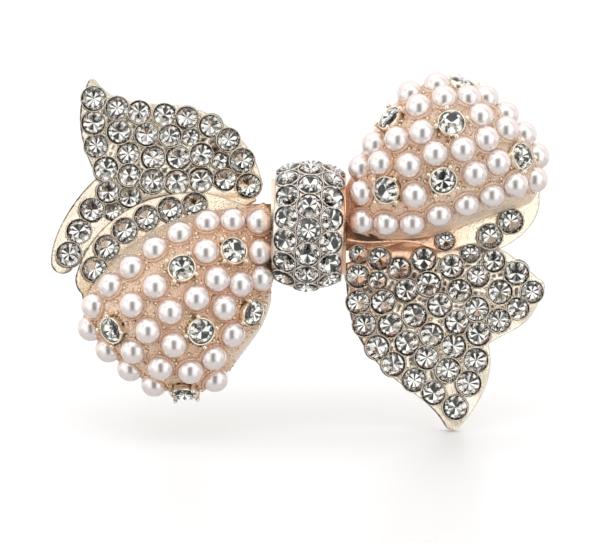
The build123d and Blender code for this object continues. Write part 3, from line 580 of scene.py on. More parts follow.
class Palette:
    """All materials of the scene."""

    def __init__(self) -> None:
        """Makes every material."""
        self.groups = SharedGroups()
        self.metals = {name: self.metal(name, look) for name, look in METALS.items()}
        self.crystal = self.smooth("crystal_glass", GLASS)
        self.foil = self.smooth("mirror_foil", FOIL)
        self.pearl = self.smooth("pearl_coat", PEARL)
        self.table = self.smooth("white_table", TABLE)

    def _start(self, name: str) -> tuple:
        """Starts a material.

        Args:
            name: its name.

        Returns:
            The material, its nodes and the inputs of its shader.
        """
        material = bpy.data.materials.new(name)
        material.use_nodes = True
        tree = material.node_tree
        return material, NodeTree(tree), tree.nodes["Principled BSDF"].inputs

    def metal(self, name: str, look: MetalLook) -> bpy.types.Material:
        """A plated metal that turns paler away from the knot, with painted shade in its recesses and pits.

        Args:
            name: the material's name.
            look: its colours and textures.

        Returns:
            The material.
        """
        material, kit, shader = self._start(name)
        split = kit.add("ShaderNodeSeparateXYZ")
        kit.feed(kit.add("ShaderNodeTexCoord").outputs["Object"], split.inputs[0])
        away = kit.math("ABSOLUTE", kit.math("SUBTRACT", split.outputs["X"], KNOT_CENTRE[0] * MM))
        turn = kit.ramp(away, [distance * MM for distance in look.turn_pale])
        base = kit.mix(turn, look.rose, look.pale)
        cloud = kit.group(self.groups.fine_wear, Scale=TONE_SCALE, Low=0.0, High=TONE_SHARE)
        base = kit.mix(cloud.outputs["Value"], base, look.rose)
        off_seats = kit.attribute("open")
        # The lip colour on the polished margins is partly painted highlight.
        base = kit.mix(off_seats, base, look.lip)
        if look.copper > 0.0:
            base = kit.mix(kit.math("MULTIPLY", self._by_the_neck(kit, split), look.copper), base, COPPER)
        grain = kit.group(self.groups.grain, Scale=look.grain_scale, Strength=look.grain * MM)
        # Painted shade: where the recess attribute or the grain's pits say, the colour turns to the deep
        # shade colour, less so on polished parts far from the knot.
        smooth_part = kit.math("MULTIPLY", off_seats, turn)
        pit_shade_share = kit.math("MULTIPLY_ADD", smooth_part, -look.pit_shade, look.pit_shade)
        pits = kit.math("MULTIPLY", grain.outputs["Pits"], pit_shade_share)
        base = kit.mix(kit.math("MAXIMUM", kit.attribute("painted_shade"), pits), base, look.deep)
        kit.feed(base, shader["Base Color"])
        low, high = look.rough
        rough = kit.group(self.groups.fine_wear, Scale=ROUGH_SCALE, Low=low, High=high)
        polish = kit.math("MULTIPLY_ADD", off_seats, -LIP_POLISH, 1.0)
        kit.feed(kit.math("MULTIPLY", rough.outputs["Value"], polish), shader["Roughness"])
        kit.feed(look.metallic, shader["Metallic"])
        lean = kit.math("MULTIPLY", split.outputs["X"], -look.slope[0])
        lean = kit.math("MULTIPLY_ADD", split.outputs["Z"], -look.slope[1], lean)
        bump = kit.add("ShaderNodeBump", Distance=1.0)
        kit.feed(kit.math("ADD", grain.outputs["Height"], lean), bump.inputs["Height"])
        kit.feed(bump.outputs["Normal"], shader["Normal"])
        return material

    def _by_the_neck(self, kit: NodeTree, split: bpy.types.Node) -> Socket:
        """Mask of the copper tone round the right neck.

        Args:
            kit: the material's nodes.
            split: the place's three parts.

        Returns:
            The mask's socket.
        """
        masks = []
        for patch in COPPER_PATCHES:
            across, upwards = (
                kit.math("DIVIDE", kit.math("SUBTRACT", split.outputs[part], middle * MM), reach * MM)
                for part, middle, reach in zip("XZ", patch.centre, patch.reach))
            radius = kit.math("MULTIPLY_ADD", upwards, upwards, kit.math("MULTIPLY", across, across))
            masks.append(kit.ramp(radius, COPPER_EDGE, (1.0, 0.0)))
        on_side = kit.ramp(split.outputs["X"], [place * MM for place in COPPER_START])
        return kit.math("MULTIPLY", kit.math("MAXIMUM", *masks), on_side)

    def smooth(self, name: str, look: SmoothLook) -> bpy.types.Material:
        """A smooth material.

        Args:
            name: the material's name.
            look: its tones and values.

        Returns:
            The material.
        """
        material, kit, shader = self._start(name)
        cloud = kit.group(self.groups.fine_wear, Scale=look.scale, Low=0.0, High=look.share)
        colour = kit.mix(cloud.outputs["Value"], *look.tones)
        # Painted reflection: where the surface turns away, the colour goes to the peach of the metal round
        # it.
        if look.rim_reflection is not None:
            facing = kit.add("ShaderNodeLayerWeight", Blend=RIM_REFLECTION_BLEND)
            colour = kit.mix(facing.outputs["Facing"], colour, look.rim_reflection)
        kit.feed(colour, shader["Base Color"])
        for socket, value in look.values.items():
            kit.feed(value, shader[socket])
        if look.glow > 0.0:
            path = kit.add("ShaderNodeLightPath")
            glow = kit.mix(path.outputs["Is Camera Ray"], grey(0.0), grey(look.glow))
            kit.feed(glow, shader["Emission Color"])
        return material


# ------------------------------------------------------------------ pieces
@dataclass(frozen=True)
class Maker:
    """Makes mesh objects and hands them to the frame.

    Attributes:
        palette: the materials.
    """

    palette: Palette

    def piece(self, name: str, bm: bmesh.types.BMesh, materials: list, finish: Finish = Finish.CASTING,
              smooth: bool = True) -> bpy.types.Object:
        """Turns a bmesh into a piece that rides on the bow.

        Args:
            name: the piece's name.
            bm: its mesh, in the row frame; it is freed.
            materials: its material slots.
            finish: the record's slot; not used.
            smooth: whether its faces are shaded smooth.

        Returns:
            The object.
        """
        bmesh.ops.recalc_face_normals(bm, faces=bm.faces)
        mesh = bpy.data.meshes.new(name)
        bm.to_mesh(mesh)
        bm.free()
        if smooth:
            mesh.shade_smooth()
        for material in materials:
            mesh.materials.append(material)
        obj = bpy.data.objects.new(name, mesh)
        bpy.context.scene.collection.objects.link(obj)
        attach(obj, "bow")
        log.info("%s: %d faces", name, len(mesh.polygons))
        return obj


def around(radius: float, angle: float, height: float) -> Vector:
    """A point at a radius, an angle and a height."""
    return Vector((radius * math.cos(angle), radius * math.sin(angle), height))


def spun_unit(profile: Profile, sides: int) -> bpy.types.Mesh:
    """A small closed form, spun about +Z from a closed profile.

    Args:
        profile: (radius, height, recess) corners; the third value is how dark the painted shade is there.
        sides: corners of its rings.

    Returns:
        Its mesh, with the painted shade of each corner as an attribute.
    """
    bm = bmesh.new()
    layer = bm.verts.layers.float.new("painted_shade")
    verts = []
    for radius, height, painted_shade in profile:
        vert = bm.verts.new((radius, 0.0, height))
        vert[layer] = painted_shade
        verts.append(vert)
    edges = [bm.edges.new((verts[k - 1], verts[k])) for k in range(len(verts))]
    bmesh.ops.spin(bm, geom=verts + edges, cent=(0, 0, 0), axis=(0, 0, 1), angle=2 * math.pi, steps=sides,
                   use_merge=True)
    bmesh.ops.remove_doubles(bm, verts=bm.verts, dist=UNIT_WELD)
    mesh = bpy.data.meshes.new("spun_unit")
    bm.to_mesh(mesh)
    bm.free()
    return mesh


def scattered(unit: bpy.types.Mesh, places: list[Matrix]) -> bmesh.types.BMesh:
    """Copies of a small form.

    Args:
        unit: its mesh, which is removed.
        places: a matrix for each copy.

    Returns:
        All copies in one bmesh.
    """
    bm = bmesh.new()
    for place in places:
        before = len(bm.verts)
        bm.from_mesh(unit)
        bm.verts.ensure_lookup_table()
        bmesh.ops.transform(bm, matrix=place, verts=bm.verts[before:])
    bpy.data.meshes.remove(unit)
    return bm


# ------------------------------------------------------------------ stones
GOLDEN_TURN = math.pi * (3.0 - math.sqrt(5.0))
TILT_STEP = 3.0
TILT_START = 1.0


@dataclass(frozen=True)
class StoneCut:
    """Proportions of a chaton, as shares of its radius.

    Attributes:
        table: radius of the table.
        crown: height of the table above the girdle.
        middle: radius at which the crown's facets meet.
        girdle: half the girdle's height.
        culet: radius of the small flat at the bottom.
        pavilion: depth below the girdle.
        mains: number of main facets.
        swell: how much larger than its solid a stone may be drawn.
        tilt: greatest tilt, in radians.
        foil: share of the girdle's half height under which a facet is foiled.
    """

    table: float = 0.60
    crown: float = 0.26
    middle: float = 0.82
    girdle: float = 0.03
    culet: float = 0.05
    pavilion: float = 0.30
    mains: int = 10
    swell: float = 1.10
    tilt: float = 0.07
    foil: float = 0.5


CRYSTAL_CUT = StoneCut(swell=1.0)
KNOT_CUT = StoneCut(crown=0.31)


@dataclass
class StoneSet:
    """The stones of one node, as cut glass on foil, each turned and tilted a little differently.

    Attributes:
        maker: what makes the piece.
        node: the CAD node.
        kind: what the node holds.
        cut: the stones' proportions.
    """

    maker: Maker
    node: str
    kind: Kind = Kind.STONE
    cut: StoneCut = StoneCut()

    def __post_init__(self) -> None:
        """Reads the stones' places."""
        self.spots = swollen(SpotReader(self.node).spots(self.kind), self.cut.swell)

    def _corners(self) -> list[Vector]:
        """Corner points of the unit stone.

        Returns:
            The points.
        """
        cut = self.cut
        turn = 2 * math.pi / cut.mains
        slope = (cut.crown - cut.girdle) / (1.0 - cut.table)
        middle_height = cut.crown - slope * (cut.middle * math.cos(turn / 2) - cut.table)
        points = []
        for k in range(cut.mains):
            main = turn * k
            between = turn * (k + 0.5)
            points.append(around(cut.table, main, cut.crown))
            points.append(around(cut.middle, between, middle_height))
            for angle in (main, between):
                points.append(around(1.0, angle, cut.girdle))
                points.append(around(1.0, angle, -cut.girdle))
            points.append(around(cut.culet, between, -cut.pavilion))
        return points

    def build(self) -> None:
        """Builds all stones of the node as one piece."""
        bm = bmesh.new()
        corners = self._corners()
        for number, spot in enumerate(self.spots):
            tilt = self.cut.tilt * math.sin(TILT_STEP * number + TILT_START)
            place = spot.matrix(turn=number * GOLDEN_TURN) @ Matrix.Rotation(tilt, 4, "X")
            verts = [bm.verts.new(place @ corner) for corner in corners]
            made = bmesh.ops.convex_hull(bm, input=verts)
            for face in made["geom"]:
                if not isinstance(face, bmesh.types.BMFace):
                    continue
                face.normal_update()
                outward = face.calc_center_median() - spot.centre
                if outward.dot(face.normal) < 0:
                    face.normal_flip()
                foiled = outward.dot(spot.axis) < self.cut.girdle * spot.radius * self.cut.foil
                face.material_index = 1 if foiled else 0
        palette = self.maker.palette
        piece = self.maker.piece(self.node + "_cut", bm, [palette.crystal, palette.foil], Finish.STONE,
                                 smooth=False)
        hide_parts(self.node)


# ------------------------------------------------------------------ pearls and settings
@dataclass(frozen=True)
class PearlForm:
    """Shape of a pearl, as shares of its radius.

    Attributes:
        rings: rings from pole to pole.
        sides: corners of a ring.
        flat: height of its flat back.
        top: how high it is for its width.
        swell: how much larger than its solid it is drawn.
    """

    rings: int = 14
    sides: int = 24
    flat: float = -0.30
    top: float = 0.97
    swell: float = 1.08


@dataclass
class PearlSet:
    """The pearls of one node.

    Attributes:
        maker: what makes the piece.
        node: the CAD node.
        form: the pearls' shape.
    """

    maker: Maker
    node: str
    form: PearlForm = PearlForm()

    def __post_init__(self) -> None:
        """Reads the pearls' places."""
        self.spots = SpotReader(self.node).spots(Kind.PEARL)

    def build(self) -> None:
        """Builds all pearls of the node as one piece."""
        form = self.form
        bm = bmesh.new()
        for spot in self.spots:
            place = spot.matrix() @ Matrix.Diagonal((form.swell, form.swell, form.top * form.swell, 1.0))
            ball = bmesh.ops.create_uvsphere(bm, u_segments=form.sides, v_segments=form.rings, radius=1.0)
            for vert in ball["verts"]:
                vert.co.z = max(vert.co.z, form.flat)
            bmesh.ops.transform(bm, matrix=place, verts=ball["verts"])
        piece = self.maker.piece(self.node + "_round", bm, [self.maker.palette.pearl], Finish.PEARL)
        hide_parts(self.node)


@dataclass(frozen=True)
class SettingForm:
    """Shape of a crystal's setting, as shares of the crystal's radius.

    Attributes:
        profile: (radius, height, recess) corners of its cup; the third value is painted shade, none here.
        sides: corners of the cup's rings.
        claws: number of claws.
        claw: radius of a claw's bead.
        claw_at: distance of the claws from the axis.
        claw_top: height of the beads' middles.
        claw_foot: how much further a claw reaches down than up.
        turn: turn from one setting's claws to the next one's, in radians.
    """

    profile: Profile = ((0.882, -0.75, 0.0), (1.13, -0.75, 0.0), (1.13, 0.0, 0.0), (1.10, 0.06, 0.0),
                        (1.04, 0.06, 0.0), (0.98, 0.01, 0.0), (0.98, -0.10, 0.0))
    sides: int = 32
    claws: int = 4
    claw: float = 0.20
    claw_at: float = 1.28
    claw_top: float = 0.14
    claw_foot: float = 5.0
    turn: float = 0.35


@dataclass
class SettingSet:
    """Settings of one node: a thin cup and four bead claws beside each crystal.

    Attributes:
        maker: what makes the piece.
        node: the CAD node.
        crystals: the crystals' places.
        form: the settings' shape.
    """

    maker: Maker
    node: str
    crystals: list[Spot]
    form: SettingForm = SettingForm()

    def build(self) -> None:
        """Builds all settings of the node as one piece."""
        form = self.form
        bm = scattered(spun_unit(form.profile, form.sides), [spot.matrix() for spot in self.crystals])
        for number, spot in enumerate(self.crystals):
            for k in range(form.claws):
                angle = math.pi / 4 + k * 2 * math.pi / form.claws + number * form.turn
                bead = bmesh.ops.create_icosphere(bm, subdivisions=2, radius=form.claw)["verts"]
                for vert in bead:
                    if vert.co.z < 0:
                        vert.co.z *= form.claw_foot
                shift = Matrix.Translation(around(form.claw_at, angle, form.claw_top))
                bmesh.ops.transform(bm, matrix=spot.matrix() @ shift, verts=bead)
        piece = self.maker.piece(self.node + "_claws", bm, [self.maker.palette.metals["setting_metal"]])
        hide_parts(self.node)


# ------------------------------------------------------------------ castings
@dataclass(frozen=True)
class BezelForm:
    """Ring of metal round a set stone or pearl, as shares of its radius.

    Attributes:
        profile: (radius, height, recess) corners from the inner lip outwards and back under; the third value
            is painted shade, dark on the inner lip and under the ring.
        sides: corners of the ring.
    """

    profile: Profile = ((1.00, 0.04, 1.0), (1.02, 0.02, 1.0), (1.05, 0.05, 1.0), (1.065, 0.12, 0.0),
                        (1.11, 0.11, 0.0), (1.15, -0.03, 0.9), (1.15, -0.40, 1.0), (1.00, -0.40, 1.0))
    sides: int = 20


# Painted shade in the groove round each pearl and under its cup.
PEARL_CUP = BezelForm(profile=((1.02, 0.00, 0.4), (1.10, 0.00, 0.4), (1.14, 0.04, 0.1), (1.19, 0.00, 0.0),
                               (1.24, -0.12, 0.2), (1.24, -0.40, 0.5), (1.02, -0.40, 0.5)))


@dataclass
class BezelSet:
    """The rings of one casting, one round each of its stones or pearls.

    Attributes:
        maker: what makes the piece.
        name: the piece's name.
        spots: the places of the stones or pearls.
        material: the rings' metal.
        form: their shape.
    """

    maker: Maker
    name: str
    spots: list[Spot]
    material: bpy.types.Material
    form: BezelForm = BezelForm()

    def build(self) -> None:
        """Builds all rings as one piece."""
        unit = spun_unit(self.form.profile, self.form.sides)
        self.maker.piece(self.name, scattered(unit, [spot.matrix() for spot in self.spots]), [self.material])


@dataclass(frozen=True)
class CastingForm:
    """How a casting's fine surface is worked and where shade is painted on it, in mm where nothing else is
    said.

    A pair holds the values at which an effect starts and is full. Facing and leftward are cosines: how far
    the surface turns to the nearest seat's front, and to the left of it.

    Attributes:
        voxel: mesh fineness.
        rounds: steps of smoothing.
        rounding: strength of a step.
        beside: how far above or below a girdle a corner may lie to count as beside it.
        pit: depth of the pits between seats.
        pit_at: distance from the nearest seat.
        pit_among: distance from the third nearest seat, past which the wall is plain again.
        pit_shade_span: share of the depth over which a pit's painted shade sets in.
        pit_shade_level: how dark that painted shade is at most.
        polished: distance from the seats over which the metal turns polished.
        seat: radius within which a seat is deepened, as a share of the stone's.
        seat_reach: how far from the girdle, as a share of the stone's radius.
        seat_depth: how deep, as a share of the stone's radius.
        front: facing of a front.
        wall_at: distance from a seat's wall.
        wall_facing: facing of a seat's wall.
        wall_low: height over the girdle, as a share of the stone's radius.
        wall_shade_level: how dark the painted shade on a seat's wall is.
        side_facing: facing of a plate's side faces.
        side_shade_level: how dark the painted shade on them is.
        left_turn: leftward of the rounded edges at the left.
        left_facing: their facing.
        left_shade_level: how dark the painted shade on them is.
        outline_steps: how many cells wide that painted dark line is.
    """

    voxel: float = 0.16
    rounds: int = 2
    rounding: float = 0.4
    beside: float = 2.2
    pit: float = 0.10
    pit_at: Pair = (0.22, 0.42)
    pit_among: Pair = (1.1, 0.8)
    pit_shade_span: Pair = (0.45, 0.85)
    pit_shade_level: float = 0.9
    polished: Pair = (0.35, 0.75)
    seat: float = 1.02
    seat_reach: float = 0.5
    seat_depth: float = 0.42
    front: Pair = (0.35, 0.65)
    wall_at: Pair = (0.05, -0.05)
    wall_facing: Pair = (-0.4, -0.2)
    wall_low: Pair = (-0.95, -0.8)
    wall_shade_level: float = 0.75
    side_facing: Pair = (0.35, 0.15)
    side_shade_level: float = 0.6
    left_turn: Pair = (0.35, 0.60)
    left_facing: Pair = (0.85, 0.65)
    left_shade_level: float = 0.95
    outline_steps: int = 1


DOME_CASTING = CastingForm(polished=(1.4, 2.0), seat=0.9, side_shade_level=0.0, left_shade_level=0.0)
KNOT_CASTING = CastingForm(left_shade_level=0.0)
FAR = 1e9                   # farther than anything, in metres


def rise(values: np.ndarray, span: Pair) -> np.ndarray:
    """How far values have come on their way from one level to another.

    Args:
        values: the values.
        span: the level at which the rise starts, and the one at which it is full.

    Returns:
        Shares from 0 to 1.
    """
    return np.clip((values - span[0]) / (span[1] - span[0]), 0, 1)


@dataclass
class Casting:
    """A cast piece: its node's form in a fine mesh, with deepened seats, pits between them and painted shade
    in the pits, on the seats' walls and along the edges.

    Attributes:
        maker: what makes the piece.
        node: the CAD node.
        spots: the places of its stones or pearls.
        material: its metal.
        form: how its surface is worked.
    """

    maker: Maker
    node: str
    spots: list[Spot]
    material: bpy.types.Material
    form: CastingForm = CastingForm()

    def _fine_mesh(self) -> bpy.types.Mesh:
        """The node's form as an even fine mesh.

        Returns:
            The mesh.
        """
        work = bpy.data.objects.new("work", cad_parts[self.node].data.copy())
        bpy.context.scene.collection.objects.link(work)
        weld = work.modifiers.new("weld", "WELD")
        weld.merge_threshold = WELD
        remesh = work.modifiers.new("remesh", "REMESH")
        remesh.mode = "VOXEL"
        remesh.voxel_size = self.form.voxel * MM
        smooth = work.modifiers.new("smooth", "LAPLACIANSMOOTH")
        smooth.iterations = self.form.rounds
        smooth.lambda_factor = self.form.rounding
        smooth.use_volume_preserve = True
        graph = bpy.context.evaluated_depsgraph_get()
        mesh = bpy.data.meshes.new_from_object(work.evaluated_get(graph), depsgraph=graph)
        bpy.data.objects.remove(work)
        return mesh

    def build(self) -> bpy.types.Object:
        """Builds the casting.

        Returns:
            The piece.
        """
        mesh = self._fine_mesh()
        points = np.empty(len(mesh.vertices) * 3)
        normals = np.empty(len(mesh.vertices) * 3)
        edges = np.empty(len(mesh.edges) * 2, dtype=np.int32)
        mesh.vertices.foreach_get("co", points)
        mesh.vertex_normals.foreach_get("vector", normals)
        mesh.edges.foreach_get("vertices", edges)
        points, normals, edges = points.reshape(-1, 3), normals.reshape(-1, 3), edges.reshape(-1, 2)
        moved, painted_shade, polish = self._work(points, normals, edges)
        mesh.vertices.foreach_set("co", moved.ravel())
        bm = bmesh.new()
        bm.from_mesh(mesh)
        layers = [bm.verts.layers.float.new("painted_shade"), bm.verts.layers.float.new("open")]
        for vert, values in zip(bm.verts, zip(painted_shade, polish)):
            for layer, value in zip(layers, values):
                vert[layer] = float(value)
        bpy.data.meshes.remove(mesh)
        piece = self.maker.piece(self.node + "_cast", bm, [self.material])
        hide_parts(self.node)
        return piece

    def _spread(self, mask: np.ndarray, edges: np.ndarray) -> np.ndarray:
        """Spreads a mask over the neighbouring corners.

        Args:
            mask: a value for each corner.
            edges: (count, 2) corner numbers.

        Returns:
            The wider mask.
        """
        for _ in range(self.form.outline_steps):
            wider = mask.copy()
            np.maximum.at(wider, edges[:, 0], mask[edges[:, 1]])
            np.maximum.at(wider, edges[:, 1], mask[edges[:, 0]])
            mask = wider
        return mask

    def _work(self, points: np.ndarray, normals: np.ndarray, edges: np.ndarray) -> tuple:
        """Deepens the seats, sinks pits between them and works out where shade is painted.

        Args:
            points: corner points, in metres.
            normals: their normals.
            edges: (count, 2) corner numbers.

        Returns:
            The moved points, and each point's painted shade and polish, both from 0 to 1.
        """
        form = self.form
        nearest, second, third = (np.full(len(points), FAR) for _ in range(3))
        facing, leftward, level = (np.zeros(len(points)) for _ in range(3))
        outward = np.zeros_like(points)
        sunk = np.zeros_like(points)
        for spot in self.spots:
            axis = np.array(spot.axis)
            away = points - np.array(spot.centre)
            height = away @ axis
            across = np.linalg.norm(away - np.outer(height, axis), axis=1)
            seat = (across < spot.radius * form.seat) & (np.abs(height) < spot.radius * form.seat_reach)
            sunk += np.where(seat, height + spot.radius * form.seat_depth, 0.0)[:, None] * axis
            gap = np.where(np.abs(height) < form.beside * MM, across - spot.radius, FAR)
            nearer = gap < nearest
            third = np.where(gap < second, second, np.minimum(third, gap))
            second = np.where(nearer, nearest, np.minimum(second, gap))
            nearest = np.where(nearer, gap, nearest)
            turned = normals @ axis
            facing = np.where(nearer, turned, facing)
            level = np.where(nearer, height / spot.radius, level)
            leftward = np.where(nearer, turned * spot.axis.x - normals[:, 0], leftward)
            outward[nearer] = axis
        nearest, third = nearest / MM, third / MM
        front = rise(facing, form.front)
        pit = rise(nearest, form.pit_at) * rise(third, form.pit_among)
        moved = points - outward * (form.pit * MM * pit * front)[:, None] - sunk
        # Painted shade: in the pits, on the seats' walls, on the plates' side faces and in a dark line along
        # the left edges.
        wall = rise(nearest, form.wall_at) * rise(facing, form.wall_facing) * rise(level, form.wall_low)
        sides = form.side_shade_level * rise(np.abs(facing), form.side_facing)
        left = rise(leftward, form.left_turn) * rise(np.abs(facing), form.left_facing)
        edge = np.maximum(sides, form.left_shade_level * self._spread(left, edges))
        painted_shade = form.pit_shade_level * rise(pit, form.pit_shade_span) * front + form.wall_shade_level * wall + edge
        return moved, np.clip(painted_shade, 0, 1), rise(nearest, form.polished)


# ------------------------------------------------------------------ beads and granules
@dataclass(frozen=True)
class BeadForm:
    """Bead grains between stones or pearls.

    Attributes:
        radius: a bead's radius, in mm.
        reach: how far apart neighbours may be, as a share of their radii.
        level: least cosine between the axes of neighbours.
        aside: where beads lie beside the line between neighbours, as a share of their mean radius.
        apart: least distance between beads, in mm.
        clear: least distance from a stone's or pearl's edge, in mm.
        profile: (radius, height, recess) corners of a bead in its groove, as shares of its radius; the third
            value is painted shade, darkest in the groove.
        sides: corners of its rings.
    """

    radius: float = 0.19
    reach: float = 1.34
    level: float = 0.6
    aside: float = 0.42
    apart: float = 0.45
    clear: float = 0.10
    profile: Profile = ((0.0, 1.00, 0.0), (0.50, 0.88, 0.0), (0.88, 0.50, 0.0), (1.00, 0.14, 0.5),
                        (1.10, 0.06, 0.8), (1.22, 0.08, 0.8), (1.35, -0.20, 0.4), (0.0, -0.60, 0.0))
    sides: int = 8


DOME_BEADS = BeadForm(radius=0.27, reach=1.75, aside=0.62, apart=0.66, clear=0.36)
CELL_STEPS = [np.array((i, j, k)) for i in (-1, 0, 1) for j in (-1, 0, 1) for k in (-1, 0, 1)]


@dataclass(frozen=True)
class GranuleForm:
    """Fine granules strewn over a casting's bare belt, in mm.

    Attributes:
        radius: a granule's radius.
        apart: least distance between granules.
        start: least distance from a stone's or pearl's edge.
        stop: greatest distance from it.
        level: least cosine between the casting's normal and the nearest seat's axis.
        profile: (radius, height, recess) corners of a granule, as shares of its radius; the third value is
            painted shade, darkest round its foot.
        sides: corners of its rings.
        seed: of their order.
    """

    radius: float = 0.19
    apart: float = 0.42
    start: float = 0.35
    stop: float = 2.3
    level: float = 0.3
    profile: Profile = ((0.0, 0.85, 0.0), (0.60, 0.62, 0.0), (1.0, 0.0, 0.5), (1.25, -0.10, 0.9),
                        (0.0, -0.5, 0.0))
    sides: int = 7
    seed: int = 5


@dataclass
class GrainSet:
    """Small grains of metal on a casting; each kind of grain finds its own places.

    Attributes:
        maker: what makes the piece.
        casting: the casting's piece.
        name: the grains' name.
        spots: the places of the casting's stones or pearls.
        form: the grains' shape and spacing.
    """

    maker: Maker
    casting: bpy.types.Object
    name: str
    spots: list[Spot]
    form: BeadForm | GranuleForm

    def _upright(self, point: Vector, normal: Vector) -> Matrix:
        """A grain's place on a point of the casting.

        Args:
            point: the point.
            normal: the casting's normal there.

        Returns:
            The matrix from unit coordinates to the row frame.
        """
        turn = normal.to_track_quat("Z", "Y").to_matrix().to_4x4()
        return Matrix.Translation(point) @ turn @ even_scale(self.form.radius * MM)

    def _places(self) -> list[Matrix]:
        """Where the grains sit; each kind has its own way."""
        raise NotImplementedError

    def build(self) -> None:
        """Builds the grains of one casting as one piece."""
        bm = scattered(spun_unit(self.form.profile, self.form.sides), self._places())
        self.maker.piece(self.name, bm, [self.maker.palette.metals["grain_metal"]])


@dataclass
class BeadSet(GrainSet):
    """Beads beside the lines between neighbouring stones or pearls.

    Attributes:
        form: the beads' shape and spacing.
    """

    form: BeadForm = BeadForm()

    def _places(self) -> list[Matrix]:
        """Where beads sit on the casting.

        Returns:
            A matrix for each bead.
        """
        form = self.form
        bm = bmesh.new()
        bm.from_mesh(self.casting.data)
        surface = BVHTree.FromBMesh(bm)
        bm.free()
        placed = []
        places = []
        for first, second in self._neighbours():
            along = (second.centre - first.centre).normalized()
            axis = (first.axis + second.axis).normalized()
            offset = (first.radius + second.radius) / 2 * form.aside
            for side in (-1, 1):
                aim = (first.centre + second.centre) / 2 + axis.cross(along) * side * offset
                point, normal = surface.find_nearest(aim)[:2]
                near = min((point - spot.centre).length - spot.radius for spot in self.spots)
                crowded = any((point - other).length < form.apart * MM for other in placed)
                if near < form.clear * MM or crowded:
                    continue
                placed.append(point)
                places.append(self._upright(point, normal))
        return places

    def _neighbours(self) -> list[tuple[Spot, Spot]]:
        """Pairs of stones or pearls that stand side by side.

        Returns:
            The pairs.
        """
        pairs = []
        for number, first in enumerate(self.spots):
            for second in self.spots[number + 1:]:
                apart = (second.centre - first.centre).length
                close = apart <= (first.radius + second.radius) * self.form.reach
                if close and first.axis.dot(second.axis) >= self.form.level:
                    pairs.append((first, second))
        return pairs


@dataclass
class GranuleSet(GrainSet):
    """Granules strewn where a dome's casting is bare beside its pearls.

    Attributes:
        form: the granules' shape and spacing.
    """

    form: GranuleForm = GranuleForm()

    def _places(self) -> list[Matrix]:
        """Where granules sit on the casting.

        Returns:
            A matrix for each granule.
        """
        form = self.form
        vertices = self.casting.data.vertices
        order = np.random.default_rng(form.seed).permutation(len(vertices))
        tree = KDTree(len(self.spots))
        for number, spot in enumerate(self.spots):
            tree.insert(spot.centre, number)
        tree.balance()
        taken = set()
        places = []
        for index in order:
            point, normal = vertices[index].co, vertices[index].normal
            number, distance = tree.find(point)[1:]
            spot = self.spots[number]
            edge = (distance - spot.radius) / MM
            if not form.start < edge < form.stop or normal.dot(spot.axis) < form.level:
                continue
            cell = np.array([round(share / (form.apart * MM)) for share in point])
            if any(tuple(cell + step) in taken for step in CELL_STEPS):
                continue
            taken.add(tuple(cell))
            places.append(self._upright(point, normal))
        return places


# ------------------------------------------------------------------ studio
@dataclass(frozen=True)
class Card:
    """A card or flag of the studio, in degrees seen from the bow.

    Attributes:
        azimuth: direction of its middle, to the right of the table's front.
        height: direction of its middle, above the front.
        half_width: half its width.
        half_height: half its height.
        level: its brightness.
        tilt: its turn about its middle.
        soft: how softly its edge fades.
    """

    azimuth: float
    height: float
    half_width: float
    half_height: float
    level: float
    tilt: float = 0.0
    soft: float = 4.0


@dataclass(frozen=True)
class Softbox:
    """A soft lamp aimed at the bow, in mm and watts.

    Attributes:
        name: its name.
        place: its middle.
        size: its width and height.
        power: its power.
    """

    name: str
    place: tuple[float, float, float]
    size: Pair
    power: float


ROOM_LEVEL = 0.96
PLAIN_LEVEL = 1.0
GLASS_LEVEL = 1.36
RIBS = 7
RIB_START = 0.4             # turn of the first rib, in radians
RIB_EDGE = (0.0, 0.4)
RIB_LEVEL = 0.04
BAR = Card(azimuth=0, height=-2, half_width=20, half_height=42, level=0.02, soft=11.0)
CARDS = (
    Card(azimuth=0, height=-52, half_width=180, half_height=42, level=0.62, soft=8.0),
    Card(azimuth=0, height=24, half_width=62, half_height=56, level=1.12, soft=14.0),
    Card(azimuth=0, height=66, half_width=180, half_height=24, level=1.22, soft=16.0),
    BAR,
    Card(azimuth=-52, height=34, half_width=22, half_height=5, level=0.30, tilt=50),
    Card(azimuth=75, height=30, half_width=8, half_height=50, level=0.40),
    Card(azimuth=48, height=12, half_width=16, half_height=46, level=1.16, soft=10.0),
)
LAMP_AIM = (0.0, 0.0, 25.0)
SOFTBOXES = (
    Softbox("softbox_top", place=(-60, -260, 420), size=(420, 300), power=0.2),
    Softbox("softbox_right", place=(420, -180, 160), size=(240, 300), power=0.1),
    Softbox("softbox_left", place=(-420, -180, 160), size=(240, 300), power=0.1),
)
TABLE_HALF = 3000.0
TABLE_CELLS = 8
FILM_WIDTH = 36.0
CLIP_RANGE = (50.0, 20000.0)


